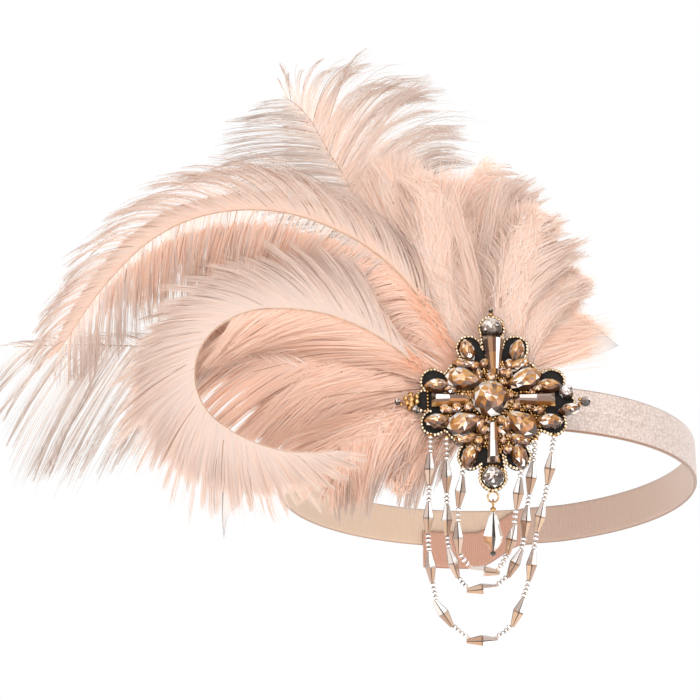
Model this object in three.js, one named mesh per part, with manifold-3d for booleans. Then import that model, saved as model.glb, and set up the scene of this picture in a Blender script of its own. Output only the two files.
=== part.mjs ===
// A fascinator headband: an elastic loop for the head, a felt brooch set with cut glass,
// three hanging strings of beads, a free glass drop and a spray of plumes behind the brooch.
// Millimetres, +Z up, +X to the viewer's right, the wearer faces -Y.
// The origin is the middle of the head loop.
import * as THREE from 'three';
import { mergeVertices } from 'three/addons/utils/BufferGeometryUtils.js';
import Module from 'manifold-3d';

const wasm = await Module();
wasm.setup();

// Driving dimensions
const gap = 0.3;                    // clearance between neighbouring solids
const headHalfWidth = 80;           // loop's half axis across the head
const headHalfDepth = 94;           // loop's half axis from forehead to nape
const wearTilt = 18;                // degrees, forehead side up
const bandWidth = 16;
const bandThickness = 1.4;
const bandCrease = { depth: 0.35, halfWidth: 0.8 };     // fold line along the elastic
const bandStart = -200;             // degrees from the forehead, hidden end under the lap
const bandEnd = 196;                // sewn end that lies inside the loop
const lapFrom = 150;                // where the sewn end starts to slip inside
const lapInside = 163;              // where it lies wholly inside
const lapDrop = 10;                 // how far the sewn end has slid down
const lapLevel = 180;               // where it runs level again
const bandSteps = 72;

const broochOffset = { x: -4.3, z: -2 };        // brooch's middle from the middle of the forehead
const feltThickness = 2;
const feltRadius = 19.3;
const feltSteps = 96;
const beadEdge = { radius: 0.55, inset: 0.6, steps: 80, sides: 8 };

const quillRadius = 0.7;
const quillRing = 3;                // quills end on a ring of this radius behind the brooch
const barbDroop = 0.35;             // how far a barb turns towards the ground by its tip
const vaneHalfThickness = { shaft: 0.7, middle: 0.4, tip: 0.25 };
const shaftTipShare = 0.4;          // shaft's thickness at its tip, as a share of that at its root
const vaneCup = 0.2;                // how far a barb's tip falls back, as a share of its length
const notchReach = 0.66;            // barb length in the split between two locks
const lockFlutter = 0.6;            // neighbouring locks stand before and behind the vane

const threadRadius = 0.75;
const bicone = { length: 10.6, radius: 1.85, waist: 0.3 };
const stringSides = 8;
const stringStep = 3.4;
const ringWire = { radius: 0.3, ring: 1.25, sides: 6, steps: 14 };
const dropCrystal = { length: 14.6, radius: 3.3, neck: 0.6, bead: 0.9, endBead: 1, sides: 10 };

// Depths behind (+) and before (-) the felt's front face, along the brooch's own axis
const quillLayers = 5;
const layerPitch = 2 * quillRadius + gap + 0.1;
const firstLayer = feltThickness + gap + quillRadius;
const bandFace = firstLayer + (quillLayers - 1) * layerPitch + quillRadius + gap;

const degrees = THREE.MathUtils.degToRad;
const smooth = THREE.MathUtils.smoothstep;
const lerp = THREE.MathUtils.lerp;

const materials = {
  elastic: { color: '#e6cdbf', roughness: 0.75, metalness: 0 },
  felt: { color: '#1e1a17', roughness: 0.95, metalness: 0 },
  gold: { color: '#c9a36b', roughness: 0.3, metalness: 0.9 },
  champagne: { color: '#b5763a', roughness: 0.08, metalness: 0 },
  smoke: { color: '#8f8a86', roughness: 0.08, metalness: 0 },
  string: { color: '#d9c8b8', roughness: 0.2, metalness: 0 },
  plume: { color: '#ecc7b2', roughness: 0.85, metalness: 0 },
};

function named(name, geometry, finish) {
  const mesh = new THREE.Mesh(geometry, new THREE.MeshStandardMaterial(materials[finish]));
  mesh.name = name;
  return mesh;
}

// Closed solid through a row of rings that all have the same number of points.
// A looped row joins its last ring to its first, an open one gets a cap at each end.
function sweptSolid(rings, looped = false) {
  const sides = rings[0].length;
  const points = rings.flat();
  const faces = [];
  const spans = looped ? rings.length : rings.length - 1;
  for (let i = 0; i < spans; i += 1) {
    const here = i * sides;
    const next = ((i + 1) % rings.length) * sides;
    for (let j = 0; j < sides; j += 1) {
      const k = (j + 1) % sides;
      faces.push([here + j, here + k, next + k], [here + j, next + k, next + j]);
    }
  }
  if (!looped) {
    const last = (rings.length - 1) * sides;
    for (const [first, flip] of [[0, true], [last, false]]) {
      const middle = new THREE.Vector3();
      const ring = points.slice(first, first + sides);
      ring.forEach((point) => middle.addScaledVector(point, 1 / sides));
      const centre = points.push(middle) - 1;
      for (let j = 0; j < sides; j += 1) {
        const pair = [first + j, first + ((j + 1) % sides)];
        faces.push(flip ? [centre, pair[1], pair[0]] : [centre, pair[0], pair[1]]);
      }
    }
  }
  let volume = 0;
  for (const [a, b, c] of faces) {
    volume += points[a].dot(new THREE.Vector3().crossVectors(points[b], points[c]));
  }
  const geometry = new THREE.BufferGeometry().setFromPoints(points);
  geometry.setIndex(faces.flatMap(([a, b, c]) => (volume > 0 ? [a, b, c] : [a, c, b])));
  geometry.computeVertexNormals();
  return geometry;
}

function toManifold(geometry) {
  const bare = geometry.clone();
  bare.deleteAttribute('normal');
  bare.deleteAttribute('uv');
  const merged = mergeVertices(bare, 1e-4);
  const vertProperties = new Float32Array(merged.attributes.position.array);
  const triVerts = new Uint32Array(merged.index.array);
  return new wasm.Manifold(new wasm.Mesh({ numProp: 3, vertProperties, triVerts }));
}

function fused(...geometries) {
  const whole = geometries.map(toManifold).reduce((sum, next) => sum.add(next)).getMesh();
  const geometry = new THREE.BufferGeometry();
  geometry.setAttribute('position', new THREE.BufferAttribute(whole.vertProperties, 3));
  geometry.setIndex(new THREE.BufferAttribute(whole.triVerts, 1));
  geometry.computeVertexNormals();
  return geometry;
}

// Head band: one elastic strip round an oval, lapped and sewn at the nape

const bandSection = [
  [0.5, 0.5], [0.5, bandCrease.halfWidth / bandWidth], [0.5 - bandCrease.depth / bandThickness, 0],
  [0.5, -bandCrease.halfWidth / bandWidth], [0.5, -0.5], [-0.5, -0.5], [-0.5, 0.5],
];

function headBand() {
  const rings = [];
  for (let i = 0; i <= bandSteps; i += 1) {
    const turn = lerp(bandStart, bandEnd, i / bandSteps);
    const angle = degrees(turn);
    const inside = smooth(turn, lapFrom, lapInside) * (bandThickness + gap);
    const drop = lapDrop * smooth(turn, lapInside, lapLevel) / smooth(bandEnd, lapInside, lapLevel);
    const across = Math.sin(angle);
    const ahead = -Math.cos(angle);
    const centre = new THREE.Vector3(headHalfWidth * across, headHalfDepth * ahead, -drop);
    const outward = new THREE.Vector3(across / headHalfWidth, ahead / headHalfDepth, 0);
    outward.normalize();
    rings.push(bandSection.map(([through, up]) => centre.clone()
      .addScaledVector(outward, through * bandThickness - inside)
      .add(new THREE.Vector3(0, 0, up * bandWidth))));
  }
  return named('band', sweptSolid(rings), 'elastic');
}

// Brooch: lobed felt, edged with small beads and covered with cut glass

// Petal stones and the round lobes under them, in the brooch's own X and Z
const petals = [];
for (const side of [1, -1]) {
  for (const up of [1, -1]) {
    petals.push({ x: 20.5 * side, z: 7.4 * up, along: 0 });
    petals.push({ x: 8 * side, z: 19.4 * up, along: 75 * side * up });
  }
}
const feltLobes = [
  ...petals.map(({ x, z }) => ({ x, z, radius: 4.8 })),
  { x: 0, z: 26.6, radius: 4.9 },
  { x: 0, z: -26.8, radius: 4.6 },
  { x: 25.4, z: -0.4, radius: 5.4 },
  { x: -27.2, z: 0, radius: 3.9 },
];

// How far the felt reaches from its middle in one direction
function feltReach(angle) {
  let reach = feltRadius;
  for (const { x, z, radius } of feltLobes) {
    const along = x * Math.cos(angle) + z * Math.sin(angle);
    const off = x * x + z * z - along * along;
    if (along > 0 && off < radius * radius) {
      reach = Math.max(reach, along + Math.sqrt(radius * radius - off));
    }
  }
  return reach;
}

function feltBacking() {
  const outline = new THREE.Shape();
  for (let i = 0; i < feltSteps; i += 1) {
    const angle = (2 * Math.PI * i) / feltSteps;
    const point = [feltReach(angle) * Math.cos(angle), feltReach(angle) * Math.sin(angle)];
    outline[i ? 'lineTo' : 'moveTo'](...point);
  }
  const geometry = new THREE.ExtrudeGeometry(outline, { depth: feltThickness, bevelEnabled: false });
  geometry.rotateX(Math.PI / 2).translate(0, feltThickness, 0);
  return named('brooch_backing', geometry, 'felt');
}

function edging() {
  const { radius, inset, steps, sides } = beadEdge;
  const rings = [];
  for (let i = 0; i < steps; i += 1) {
    const angle = (2 * Math.PI * i) / steps;
    const out = new THREE.Vector3(Math.cos(angle), 0, Math.sin(angle));
    const centre = out.clone().multiplyScalar(feltReach(angle) - inset);
    centre.y = -gap - radius;
    const ring = [];
    for (let j = 0; j < sides; j += 1) {
      const around = (2 * Math.PI * j) / sides;
      const point = centre.clone().addScaledVector(out, radius * Math.cos(around));
      point.y += radius * Math.sin(around);
      ring.push(point);
    }
    rings.push(ring);
  }
  return named('bead_edging', sweptSolid(rings, true), 'gold');
}

// Hidden binding round which the quills end, between the felt and the band
function quillBinding() {
  const radius = quillRing - gap;
  const length = bandFace - feltThickness - 2 * gap;
  const binding = named('quill_binding', new THREE.CylinderGeometry(radius, radius, length, 12), 'felt');
  binding.position.y = feltThickness + gap + length / 2;
  return binding;
}

// Outlines of cut stones, long way along X, in the stone's own X and Z
const stoneOutlines = {
  round: ({ width }, sides = 10) => Array.from({ length: sides }, (_, i) => {
    const angle = (2 * Math.PI * i) / sides;
    return [(width / 2) * Math.cos(angle), (width / 2) * Math.sin(angle)];
  }),
  marquise: ({ length, width }, sides = 10) => Array.from({ length: sides }, (_, i) => {
    const angle = (2 * Math.PI * i) / sides;
    const taper = Math.abs(Math.sin(angle)) ** 0.4;
    return [(length / 2) * Math.cos(angle), (width / 2) * Math.sin(angle) * taper];
  }),
  pear: ({ length, width }, sides = 12) => Array.from({ length: sides }, (_, i) => {
    const angle = (2 * Math.PI * i) / sides;
    const taper = 0.5 + 0.5 * Math.sin((Math.cos(angle) * Math.PI) / 2 + 0.2);
    return [(length / 2) * Math.cos(angle), (width / 2) * Math.sin(angle) * lerp(0.62, 1.1, taper)];
  }),
  baguette: ({ length, width, inner }) => {
    const corner = 0.16 * width;
    const [a, b] = [length / 2, width / 2];
    const half = [[-a, inner * 0.25], [-a + corner, inner / 2], [a - corner, b], [a, b - corner]];
    return [...half.map(([x, z]) => [x, -z]), ...half.reverse()];
  },
};

// Layers of a cut stone from its seat to its table: height share and outline share
const stoneLayers = [
  { rise: 0, scale: 0.86 }, { rise: 0.22, scale: 1 }, { rise: 0.34, scale: 1 },
  { rise: 0.74, scale: 0.82 }, { rise: 1, scale: 0.52 },
];

const stoneDefaults = { along: 18, length: 11.2, width: 8, height: 4.4, finish: 'champagne' };
const sideArm = { cut: 'baguette', length: 14.4, width: 4.6, inner: 2.6 };
const petalStone = { cut: 'marquise', length: 8.4, width: 4.4 };
const petalInset = 0.955;           // petal stones sit a little inside the lobes' middles
const stones = [
  { name: 'centre', cut: 'round', x: 0, z: 0, width: 12.8, height: 6 },
  { name: 'arm_north', cut: 'baguette', x: 0.2, z: 15.4, along: 90, length: 14.4, width: 6.6, inner: 3 },
  { name: 'arm_south', cut: 'baguette', x: 0, z: -14.8, along: -90, length: 14, width: 5.4, inner: 3 },
  { name: 'arm_east', x: 14.4, z: 0.2, along: 0, ...sideArm },
  { name: 'arm_west', x: -14.4, z: 0.2, along: 180, ...sideArm },
  { name: 'pear_ne', cut: 'pear', x: 9.2, z: 8.1, along: 40 },
  { name: 'pear_nw', cut: 'pear', x: -9.1, z: 8.2, along: 140 },
  { name: 'pear_sw', cut: 'pear', x: -9.2, z: -8.1, along: 220 },
  { name: 'pear_se', cut: 'pear', x: 9.1, z: -8.1, along: 320 },
  ...petals.map(({ x, z, along }, i) => ({
    name: `petal_${i + 1}`, x: x * petalInset, z: z * petalInset, along, ...petalStone,
  })),
  { name: 'end_north', cut: 'round', x: 0, z: 26.6, width: 6.6, finish: 'smoke' },
  { name: 'end_south', cut: 'round', x: 0, z: -26.8, width: 6.4, finish: 'smoke' },
  { name: 'side_round', cut: 'round', x: 25.2, z: 2, width: 3.6, finish: 'smoke' },
  { name: 'side_marquise', cut: 'marquise', x: 25.4, z: -2.2, along: -10, length: 6, width: 3.2 },
];

function cutStone(row) {
  const stone = { ...stoneDefaults, ...row };
  const outline = stoneOutlines[stone.cut](stone);
  const rings = stoneLayers.map(({ rise, scale }) => outline
    .map(([x, z]) => new THREE.Vector3(x * scale, -rise * stone.height, z * scale)));
  const mesh = named(`stone_${stone.name}`, sweptSolid(rings), stone.finish);
  mesh.position.set(stone.x, -gap, stone.z);
  mesh.rotation.y = -degrees(stone.along);
  return mesh;
}

// Round beads at the brooch's points, each against the felt's edge or on its face
const tipBeads = [
  { name: 'bead_tip_north', x: 0, y: 1, z: 33, radius: 1.3, finish: 'gold' },
  { name: 'bead_tip_east', x: 32.75, y: 0.6, z: -0.6, radius: 1.7, finish: 'smoke' },
  { name: 'bead_tip_west', x: -32.85, y: 0.8, z: 0, radius: 1.5, finish: 'smoke' },
  { name: 'bead_west_cluster', x: -27, y: -2, z: 0, radius: 1.7, finish: 'gold' },
];

function roundBead({ name, x, y, z, radius, finish }) {
  const bead = named(name, new THREE.SphereGeometry(radius, 10, 6), finish);
  bead.position.set(x, y, z);
  return bead;
}

// Strings of beads: a thread of small beads that carries long glass bicones.
// Points are X and Z from the brooch's middle, hanging plumb.
const strings = [
  { name: 'swag_outer', bicones: 9, margin: 10, depth: -4.4, points: [
    [-21.5, -12.4], [-22, -30], [-22, -50], [-18, -70], [-6, -80.5],
    [4.5, -77], [11, -63], [14.5, -44], [18, -28], [20.5, -12.4]] },
  { name: 'swag_middle', bicones: 7, margin: 10.5, depth: -4.6, points: [
    [-16, -14.4], [-16, -32], [-15, -50], [-9, -62.5], [2, -61], [9, -50], [11.5, -34], [14, -15]] },
  { name: 'swag_inner', bicones: 5, margin: 6.6, depth: -6.6, points: [
    [-10.6, -23.3], [-12.3, -40], [-11, -52], [-5, -56.5], [1, -56], [5.2, -48], [7.6, -34], [9, -24]] },
];

function threadOf(points, depth) {
  const knots = points.map(([x, z]) => new THREE.Vector3(x, depth, z));
  const curve = new THREE.CatmullRomCurve3(knots, false, 'centripetal');
  curve.arcLengthDivisions = 400;
  return curve;
}

// Distance along the thread and radius there, with one bicone for each centre
function stringProfile(length, bicones, margin) {
  const profile = [];
  const pitch = (length - 2 * margin) / (bicones - 1);
  const half = bicone.length / 2;
  let at = 0;
  for (let i = 0; i <= bicones; i += 1) {
    const until = i < bicones ? margin + i * pitch - half : length;
    const spans = Math.max(1, Math.round((until - at) / stringStep));
    for (let k = 0; k <= spans; k += 1) {
      profile.push([lerp(at, until, k / spans), threadRadius]);
    }
    if (i < bicones) {
      profile.push([until + half - bicone.waist, bicone.radius]);
      profile.push([until + half + bicone.waist, bicone.radius]);
      at = until + bicone.length;
    }
  }
  return profile;
}

function beadString({ name, bicones, margin, depth, points }) {
  const curve = threadOf(points, depth);
  const length = curve.getLength();
  const toViewer = new THREE.Vector3(0, -1, 0);
  const rings = stringProfile(length, bicones, margin).map(([at, radius]) => {
    const centre = curve.getPointAt(at / length);
    const across = new THREE.Vector3().crossVectors(curve.getTangentAt(at / length), toViewer).normalize();
    return Array.from({ length: stringSides }, (_, j) => {
      const around = (2 * Math.PI * (j + 0.5)) / stringSides;
      return centre.clone()
        .addScaledVector(across, radius * Math.cos(around))
        .addScaledVector(toViewer, radius * Math.sin(around));
    });
  });
  return named(name, sweptSolid(rings), 'string');
}

// Free drop: a wire ring through the brooch's own ring, a small bead and a long cut crystal
const dropLoop = { x: -0.6, y: -9, z: -32.2 };       // middle of the brooch's ring, hanging plumb

function wireRing() {
  return new THREE.TorusGeometry(ringWire.ring, ringWire.radius, ringWire.sides, ringWire.steps);
}

function broochRing() {
  const ring = named('drop_loop', wireRing().rotateX(Math.PI / 2), 'gold');
  ring.position.set(dropLoop.x, dropLoop.y, dropLoop.z);
  return ring;
}

function glassDrop() {
  const { length, radius, neck, bead, endBead, sides } = dropCrystal;
  const ringBelow = ringWire.ring - 2 * ringWire.radius - gap;
  const top = -ringBelow - ringWire.ring;
  const end = top - length;
  const profile = [
    [0, top + 0.2], [neck, top - 0.2], [bead, top - bead], [neck, top - 1.6], [1.5, top - 2.2],
    [radius * 0.75, top - 0.41 * length], [radius, top - 0.7 * length],
    [radius * 0.55, top - 0.93 * length], [neck, end], [endBead, end - endBead], [0, end - 2 * endBead],
  ].map(([r, z]) => new THREE.Vector2(r, z));
  const crystal = new THREE.LatheGeometry(profile.reverse(), sides).rotateX(Math.PI / 2);
  const ring = wireRing().rotateY(Math.PI / 2).translate(0, 0, -ringBelow);
  const drop = named('drop', fused(ring, crystal), 'champagne');
  drop.position.set(dropLoop.x, dropLoop.y, dropLoop.z - ringWire.ring);
  return drop;
}

// Plumes: a bent shaft with a vane of barbs on each side, split into locks at the rim.
// Each row is one stretch of the shaft: its run, how far it turns left, its depth at the end,
// and the barbs there: length and lean from the shaft, left and right.
const plumeColumns = ['run', 'turn', 'depth', 'left', 'leanLeft', 'right', 'leanRight'];
const plumes = [
  { name: 'plume_curl', angle: 152, heading: 152, layer: 0, locks: 14, rows: [
    [24, -2, 0, 3, 30, 3, 26], [14, -2, -6, 12, 30, 32, 26], [22, 20, -12, 14, 35, 34, 26],
    [22, 18, -15, 14, 40, 32, 28], [16, 32, -16, 10, 40, 30, 30], [20, 52, -17, 8, 40, 32, 40],
    [20, 50, -19, 8, 40, 30, 62], [20, 22, -21, 9, 45, 21, 70], [22, 28, -23, 7, 30, 8, 40]] },
  { name: 'plume_down_1', angle: 200, heading: 186, layer: 0, locks: 6, rows: [
    [22, 4, 0, 4, 50, 3, 40], [5, 4, -1, 20, 55, 12, 40], [12, 18, -3, 26, 50, 22, 40],
    [24, 40, -4, 10, 28, 10, 32]] },
  { name: 'plume_fan_4', angle: 60, heading: 80, layer: 0, locks: 6, rows: [
    [22, 0, 0, 3, 40, 3, 40], [14, 0, -2, 18, 40, 22, 40], [15, -6, -4, 22, 42, 22, 40],
    [16, -10, -4, 8, 30, 8, 30]] },
  { name: 'plume_arch', angle: 126, heading: 124, layer: 1, locks: 13, rows: [
    [22, -2, 0, 3, 40, 3, 35], [14, -1, -2, 14, 40, 20, 35], [25, 19, -6, 20, 50, 26, 35],
    [35, 26, -8, 26, 55, 28, 36], [30, 27, -8, 27, 55, 28, 38], [30, 32, -7, 27, 50, 26, 42],
    [30, 14, -5, 24, 40, 22, 42], [14, -4, -4, 10, 25, 10, 25]] },
  { name: 'plume_fan_5', angle: 50, heading: 66, layer: 1, locks: 5, rows: [
    [18, 0, 0, 3, 40, 3, 40], [8, 0, 0, 16, 40, 14, 40], [18, -20, 2, 20, 40, 18, 40],
    [10, -12, 2, 8, 30, 8, 30]] },
  { name: 'plume_down_2', angle: 205, heading: 212, layer: 1, locks: 5, rows: [
    [18, 2, 0, 4, 50, 4, 40], [5, 6, 1, 18, 50, 14, 40], [10, 18, 2, 18, 40, 18, 40],
    [10, 6, 2, 8, 28, 8, 28]] },
  { name: 'plume_fan_2', angle: 100, heading: 117, layer: 2, locks: 7, rows: [
    [20, 0, 0, 3, 35, 3, 35], [8, -2, 0, 11, 35, 13, 35], [30, -30, -1, 18, 40, 22, 45],
    [10, 8, -1, 16, 40, 20, 48], [16, 36, -1, 5, 25, 8, 38]] },
  { name: 'plume_sweep', angle: 140, heading: 160, layer: 2, locks: 10, rows: [
    [24, 5, 0, 3, 40, 3, 30], [32, 7, 1, 16, 40, 12, 30], [50, 2, 2, 44, 62, 20, 35],
    [30, 5, 2, 48, 60, 20, 30], [30, 5, 2, 18, 30, 8, 22]] },
  { name: 'plume_fan_6', angle: 40, heading: 58, layer: 2, locks: 5, rows: [
    [18, 0, 0, 3, 40, 3, 40], [6, 0, 1, 14, 40, 10, 40], [14, -44, 3, 15, 38, 10, 40],
    [20, -33, 4, 3, 15, 3, 15]] },
  { name: 'plume_fan_1', angle: 120, heading: 124, layer: 3, locks: 6, rows: [
    [26, 0, 0, 3, 30, 3, 30], [16, 0, 2, 8, 30, 8, 30], [20, -32, 4, 14, 40, 16, 40],
    [22, 0, 5, 16, 40, 18, 40], [14, 26, 5, 6, 25, 8, 35]] },
  { name: 'plume_crest', angle: 135, heading: 118, layer: 4, locks: 10, rows: [
    [26, 0, 0, 3, 45, 3, 50], [30, 0, 8, 14, 45, 16, 50], [40, 0, 14, 36, 55, 48, 78],
    [16, 2, 15, 40, 55, 43, 66], [14, -4, 15, 30, 50, 29, 52], [12, 30, 15, 15, 35, 14, 45],
    [8, 20, 15, 5, 20, 6, 35]] },
  { name: 'plume_fan_3', angle: 60, heading: 95, layer: 4, locks: 7, rows: [
    [24, 0, 0, 3, 45, 3, 45], [27, 0, 3, 16, 45, 24, 45], [15, 0, 5, 22, 50, 29, 48],
    [20, -20, 6, 18, 45, 23, 42], [10, -25, 6, 6, 30, 7, 30]] },
];

// Shaft's place, heading, depth and barbs at a distance from the quill's end
function shaftAt({ angle, heading, rows }, distance) {
  let x = quillRing * Math.cos(degrees(angle));
  let z = quillRing * Math.sin(degrees(angle));
  let course = degrees(heading);
  let left = distance;
  const label = (row) => Object.fromEntries(plumeColumns.map((column, i) => [column, row[i]]));
  const stretches = rows.map(label);
  let from = { ...stretches[0], depth: 0, left: quillRadius, right: quillRadius };
  for (const to of stretches) {
    const run = Math.min(left, to.run);
    const share = run / to.run;
    const bend = degrees(to.turn) * share;
    const chord = bend ? (run * Math.sin(bend / 2)) / (bend / 2) : run;
    x += chord * Math.cos(course + bend / 2);
    z += chord * Math.sin(course + bend / 2);
    course += bend;
    left -= run;
    if (left <= 0) {
      const blend = (column) => [column, lerp(from[column], to[column], share)];
      return { x, z, course, ...Object.fromEntries(plumeColumns.map(blend)) };
    }
    from = to;
  }
  throw new Error('past the end of the shaft');
}

// Point on a barb: it leaves the shaft at its lean and bends towards the ground
function barbPoint(shaft, side, reach) {
  const lean = degrees(side > 0 ? shaft.leanLeft : shaft.leanRight);
  const angle = shaft.course + side * lean;
  const length = (side > 0 ? shaft.left : shaft.right) * reach;
  const back = vaneCup * length * reach;
  const bits = 4;
  let { x, z } = shaft;
  for (let i = 0; i < bits; i += 1) {
    const bend = barbDroop * reach * ((i + 0.5) / bits);
    const way = new THREE.Vector2(Math.cos(angle), Math.sin(angle)).multiplyScalar(1 - bend);
    way.y -= bend;
    way.normalize();
    x += (way.x * length) / bits;
    z += (way.y * length) / bits;
  }
  return { x, z, back };
}

function plume(row) {
  const total = row.rows.reduce((sum, [run]) => sum + run, 0);
  const [[quill]] = row.rows;
  const stations = [0];
  for (let i = 0; i <= 2 * row.locks; i += 1) {
    stations.push(lerp(quill, total, i / (2 * row.locks)));
  }
  const rings = stations.map((distance, i) => {
    const shaft = shaftAt(row, distance);
    const isLock = i % 2 === 0 && i > 0;
    const flutter = isLock ? lockFlutter * (i % 4 === 0 ? 1 : -1) : 0;
    const reach = isLock || i < 2 ? 1 : notchReach;
    const slim = lerp(1, shaftTipShare, distance / total);
    const depth = firstLayer + row.layer * layerPitch + shaft.depth;
    const { tip, middle, shaft: thick } = vaneHalfThickness;
    const across = [[1, 1, tip], [1, 0.5, middle], [0, 0, thick * slim], [-1, 0.5, middle], [-1, 1, tip]];
    const columns = across.map(([side, share, half]) => {
      const spot = side ? barbPoint(shaft, side, share * reach) : { ...shaft, back: 0 };
      return { x: spot.x, z: spot.z, y: depth + spot.back + share * flutter, half };
    });
    const front = columns.map(({ x, y, z, half }) => new THREE.Vector3(x, y - half, z));
    const back = columns.map(({ x, y, z, half }) => new THREE.Vector3(x, y + half, z));
    return [...front, ...back.reverse()];
  });
  return named(row.name, sweptSolid(rings), 'plume');
}

// Assembly: the loop and the brooch lean with the head, the strings and the drop hang plumb

const headband = new THREE.Group();
const leaning = new THREE.Group();
leaning.rotation.x = -degrees(wearTilt);
headband.add(leaning);
leaning.add(headBand());

const brooch = new THREE.Group();
brooch.position.set(broochOffset.x, -headHalfDepth - bandThickness / 2 - bandFace, broochOffset.z);
leaning.add(brooch);
brooch.add(feltBacking(), edging(), quillBinding(), ...stones.map(cutStone));
brooch.add(...tipBeads.map(roundBead), ...plumes.map(plume));

const plumb = new THREE.Group();
plumb.rotation.x = degrees(wearTilt);
brooch.add(plumb);
plumb.add(...strings.map(beadString), broochRing(), glassDrop());

export default headband;
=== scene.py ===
import math

import bpy
import numpy as np
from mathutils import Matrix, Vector


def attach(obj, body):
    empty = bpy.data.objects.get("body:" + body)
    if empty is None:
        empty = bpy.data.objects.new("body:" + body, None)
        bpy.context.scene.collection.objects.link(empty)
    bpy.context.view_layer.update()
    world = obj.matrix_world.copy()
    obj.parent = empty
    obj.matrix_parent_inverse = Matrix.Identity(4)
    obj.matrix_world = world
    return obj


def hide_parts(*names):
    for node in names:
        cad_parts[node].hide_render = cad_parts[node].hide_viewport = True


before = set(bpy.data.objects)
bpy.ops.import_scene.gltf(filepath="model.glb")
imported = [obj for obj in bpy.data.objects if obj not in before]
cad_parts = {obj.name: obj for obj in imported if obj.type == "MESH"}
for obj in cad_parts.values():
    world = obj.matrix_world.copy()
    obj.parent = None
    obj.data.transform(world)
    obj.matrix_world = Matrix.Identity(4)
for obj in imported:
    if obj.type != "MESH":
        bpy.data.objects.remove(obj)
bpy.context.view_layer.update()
dice = np.random.default_rng(1926)      # one seed, so every run is the same
mm = 0.001


# small helpers

def linear(hexColour):
    share = [int(hexColour[i:i + 2], 16) / 255 for i in (1, 3, 5)]
    return [c / 12.92 if c <= 0.04045 else ((c + 0.055) / 1.055) ** 2.4 for c in share] + [1.0]


def addNode(tree, kind, inputs=None, ramp=None, **settings):
    # inputs: socket name or number -> a fixed value, or another node's output to link
    node = tree.nodes.new(kind)
    for key, value in settings.items():
        setattr(node, key, value)
    for key, value in (inputs or {}).items():
        if isinstance(value, bpy.types.NodeSocket):
            tree.links.new(value, node.inputs[key])
        else:
            node.inputs[key].default_value = value
    if ramp:
        elements = node.color_ramp.elements
        while len(elements) < len(ramp):
            elements.new(0.5)
        for element, (place, hexColour) in zip(elements, ramp):
            element.position = place
            element.color = linear(hexColour)
    return node


def newMaterial(name):
    material = bpy.data.materials.new(name)
    material.use_nodes = True
    material.node_tree.nodes.clear()
    return material, material.node_tree


def makePiece(name, points, faces, materials, tint=None, slots=None, smooth=False):
    # points in mm; tint is one (u, v) for each face corner, slots one number for each face
    mesh = bpy.data.meshes.new(name)
    mesh.from_pydata((np.asarray(points) * mm).tolist(), [], faces)
    for material in materials:
        mesh.materials.append(material)
    if tint is not None:
        layer = mesh.uv_layers.new(name="OFBake")
        layer.uv.foreach_set("vector", np.asarray(tint, np.float32).ravel())
    if slots is not None:
        mesh.polygons.foreach_set("material_index", np.asarray(slots, np.int32))
    mesh.polygons.foreach_set("use_smooth", np.full(len(mesh.polygons), smooth))
    mesh.update()
    piece = bpy.data.objects.new(name, mesh)
    bpy.context.scene.collection.objects.link(piece)
    return piece


def handOver(piece, node, body="headpiece"):
    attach(piece, body)
    if node:
        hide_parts(node)


class Gather:
    # collects bits of mesh so that many small things become one piece
    def __init__(self):
        self.points, self.faces, self.tints, self.slots, self.count = [], [], [], [], 0

    def add(self, points, faces, tint=(0.5, 0.5), slot=0):
        # tint: one (u, v) for the whole bit, for each face or for each corner; slot: one, or one a face
        sizes = [len(face) for face in faces]
        tint = np.asarray(tint, float)
        if tint.ndim == 1:
            tint = np.tile(tint, (sum(sizes), 1))
        elif len(tint) == len(sizes):
            tint = np.repeat(tint, sizes, axis=0)
        self.points.append(np.asarray(points, float))
        self.faces += [[i + self.count for i in face] for face in faces]
        self.tints.append(tint)
        self.slots += np.broadcast_to(slot, len(sizes)).tolist()
        self.count += len(points)

    def piece(self, name, materials, toFrame, node, slot, body="headpiece", smooth=()):
        # smooth: numbers of the materials that are shaded smooth
        piece = makePiece(name, toFrame(np.concatenate(self.points)), self.faces, materials,
                          np.concatenate(self.tints), self.slots, np.isin(self.slots, smooth))
        handOver(piece, node, body)


def turns(count):
    return np.linspace(0, 2 * math.pi, count, endpoint=False)


def tubeFaces(rings, sides, looped=False, capped=True):
    faces = []
    for i in range(rings if looped else rings - 1):
        here, there = i * sides, ((i + 1) % rings) * sides
        for j in range(sides):
            k = (j + 1) % sides
            faces.append([here + j, here + k, there + k, there + j])
    if capped and not looped:
        faces.append(list(range(sides))[::-1])
        faces.append(list(range((rings - 1) * sides, rings * sides)))
    return faces


def smoothLine(points, steps=24):
    # centripetal Catmull-Rom through the points
    points = np.asarray(points, float)
    ends = np.vstack([2 * points[0] - points[1], points, 2 * points[-1] - points[-2]])
    line = []
    for i in range(len(points) - 1):
        p0, p1, p2, p3 = ends[i:i + 4]
        d0, d1, d2 = (np.linalg.norm(b - a) ** 0.5 for a, b in ((p0, p1), (p1, p2), (p2, p3)))
        t1 = ((p1 - p0) / d0 - (p2 - p0) / (d0 + d1) + (p2 - p1) / d1) * d1
        t2 = ((p2 - p1) / d1 - (p3 - p1) / (d1 + d2) + (p3 - p2) / d2) * d1
        for t in np.linspace(0, 1, steps, endpoint=False):
            line.append(p1 * (2 * t ** 3 - 3 * t ** 2 + 1) + p2 * (3 * t ** 2 - 2 * t ** 3)
                        + t1 * (t ** 3 - 2 * t ** 2 + t) + t2 * (t ** 3 - t ** 2))
    return np.array(line + [points[-1]])


def walked(line):
    # how far along the line each of its points lies
    return np.concatenate([[0], np.cumsum(np.linalg.norm(np.diff(line, axis=0), axis=1))])


def onLine(line, far, at):
    return np.stack([np.interp(at, far, line[:, i]) for i in range(3)], -1)


# where things are: the loop leans with the head, the brooch sits on the forehead

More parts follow.
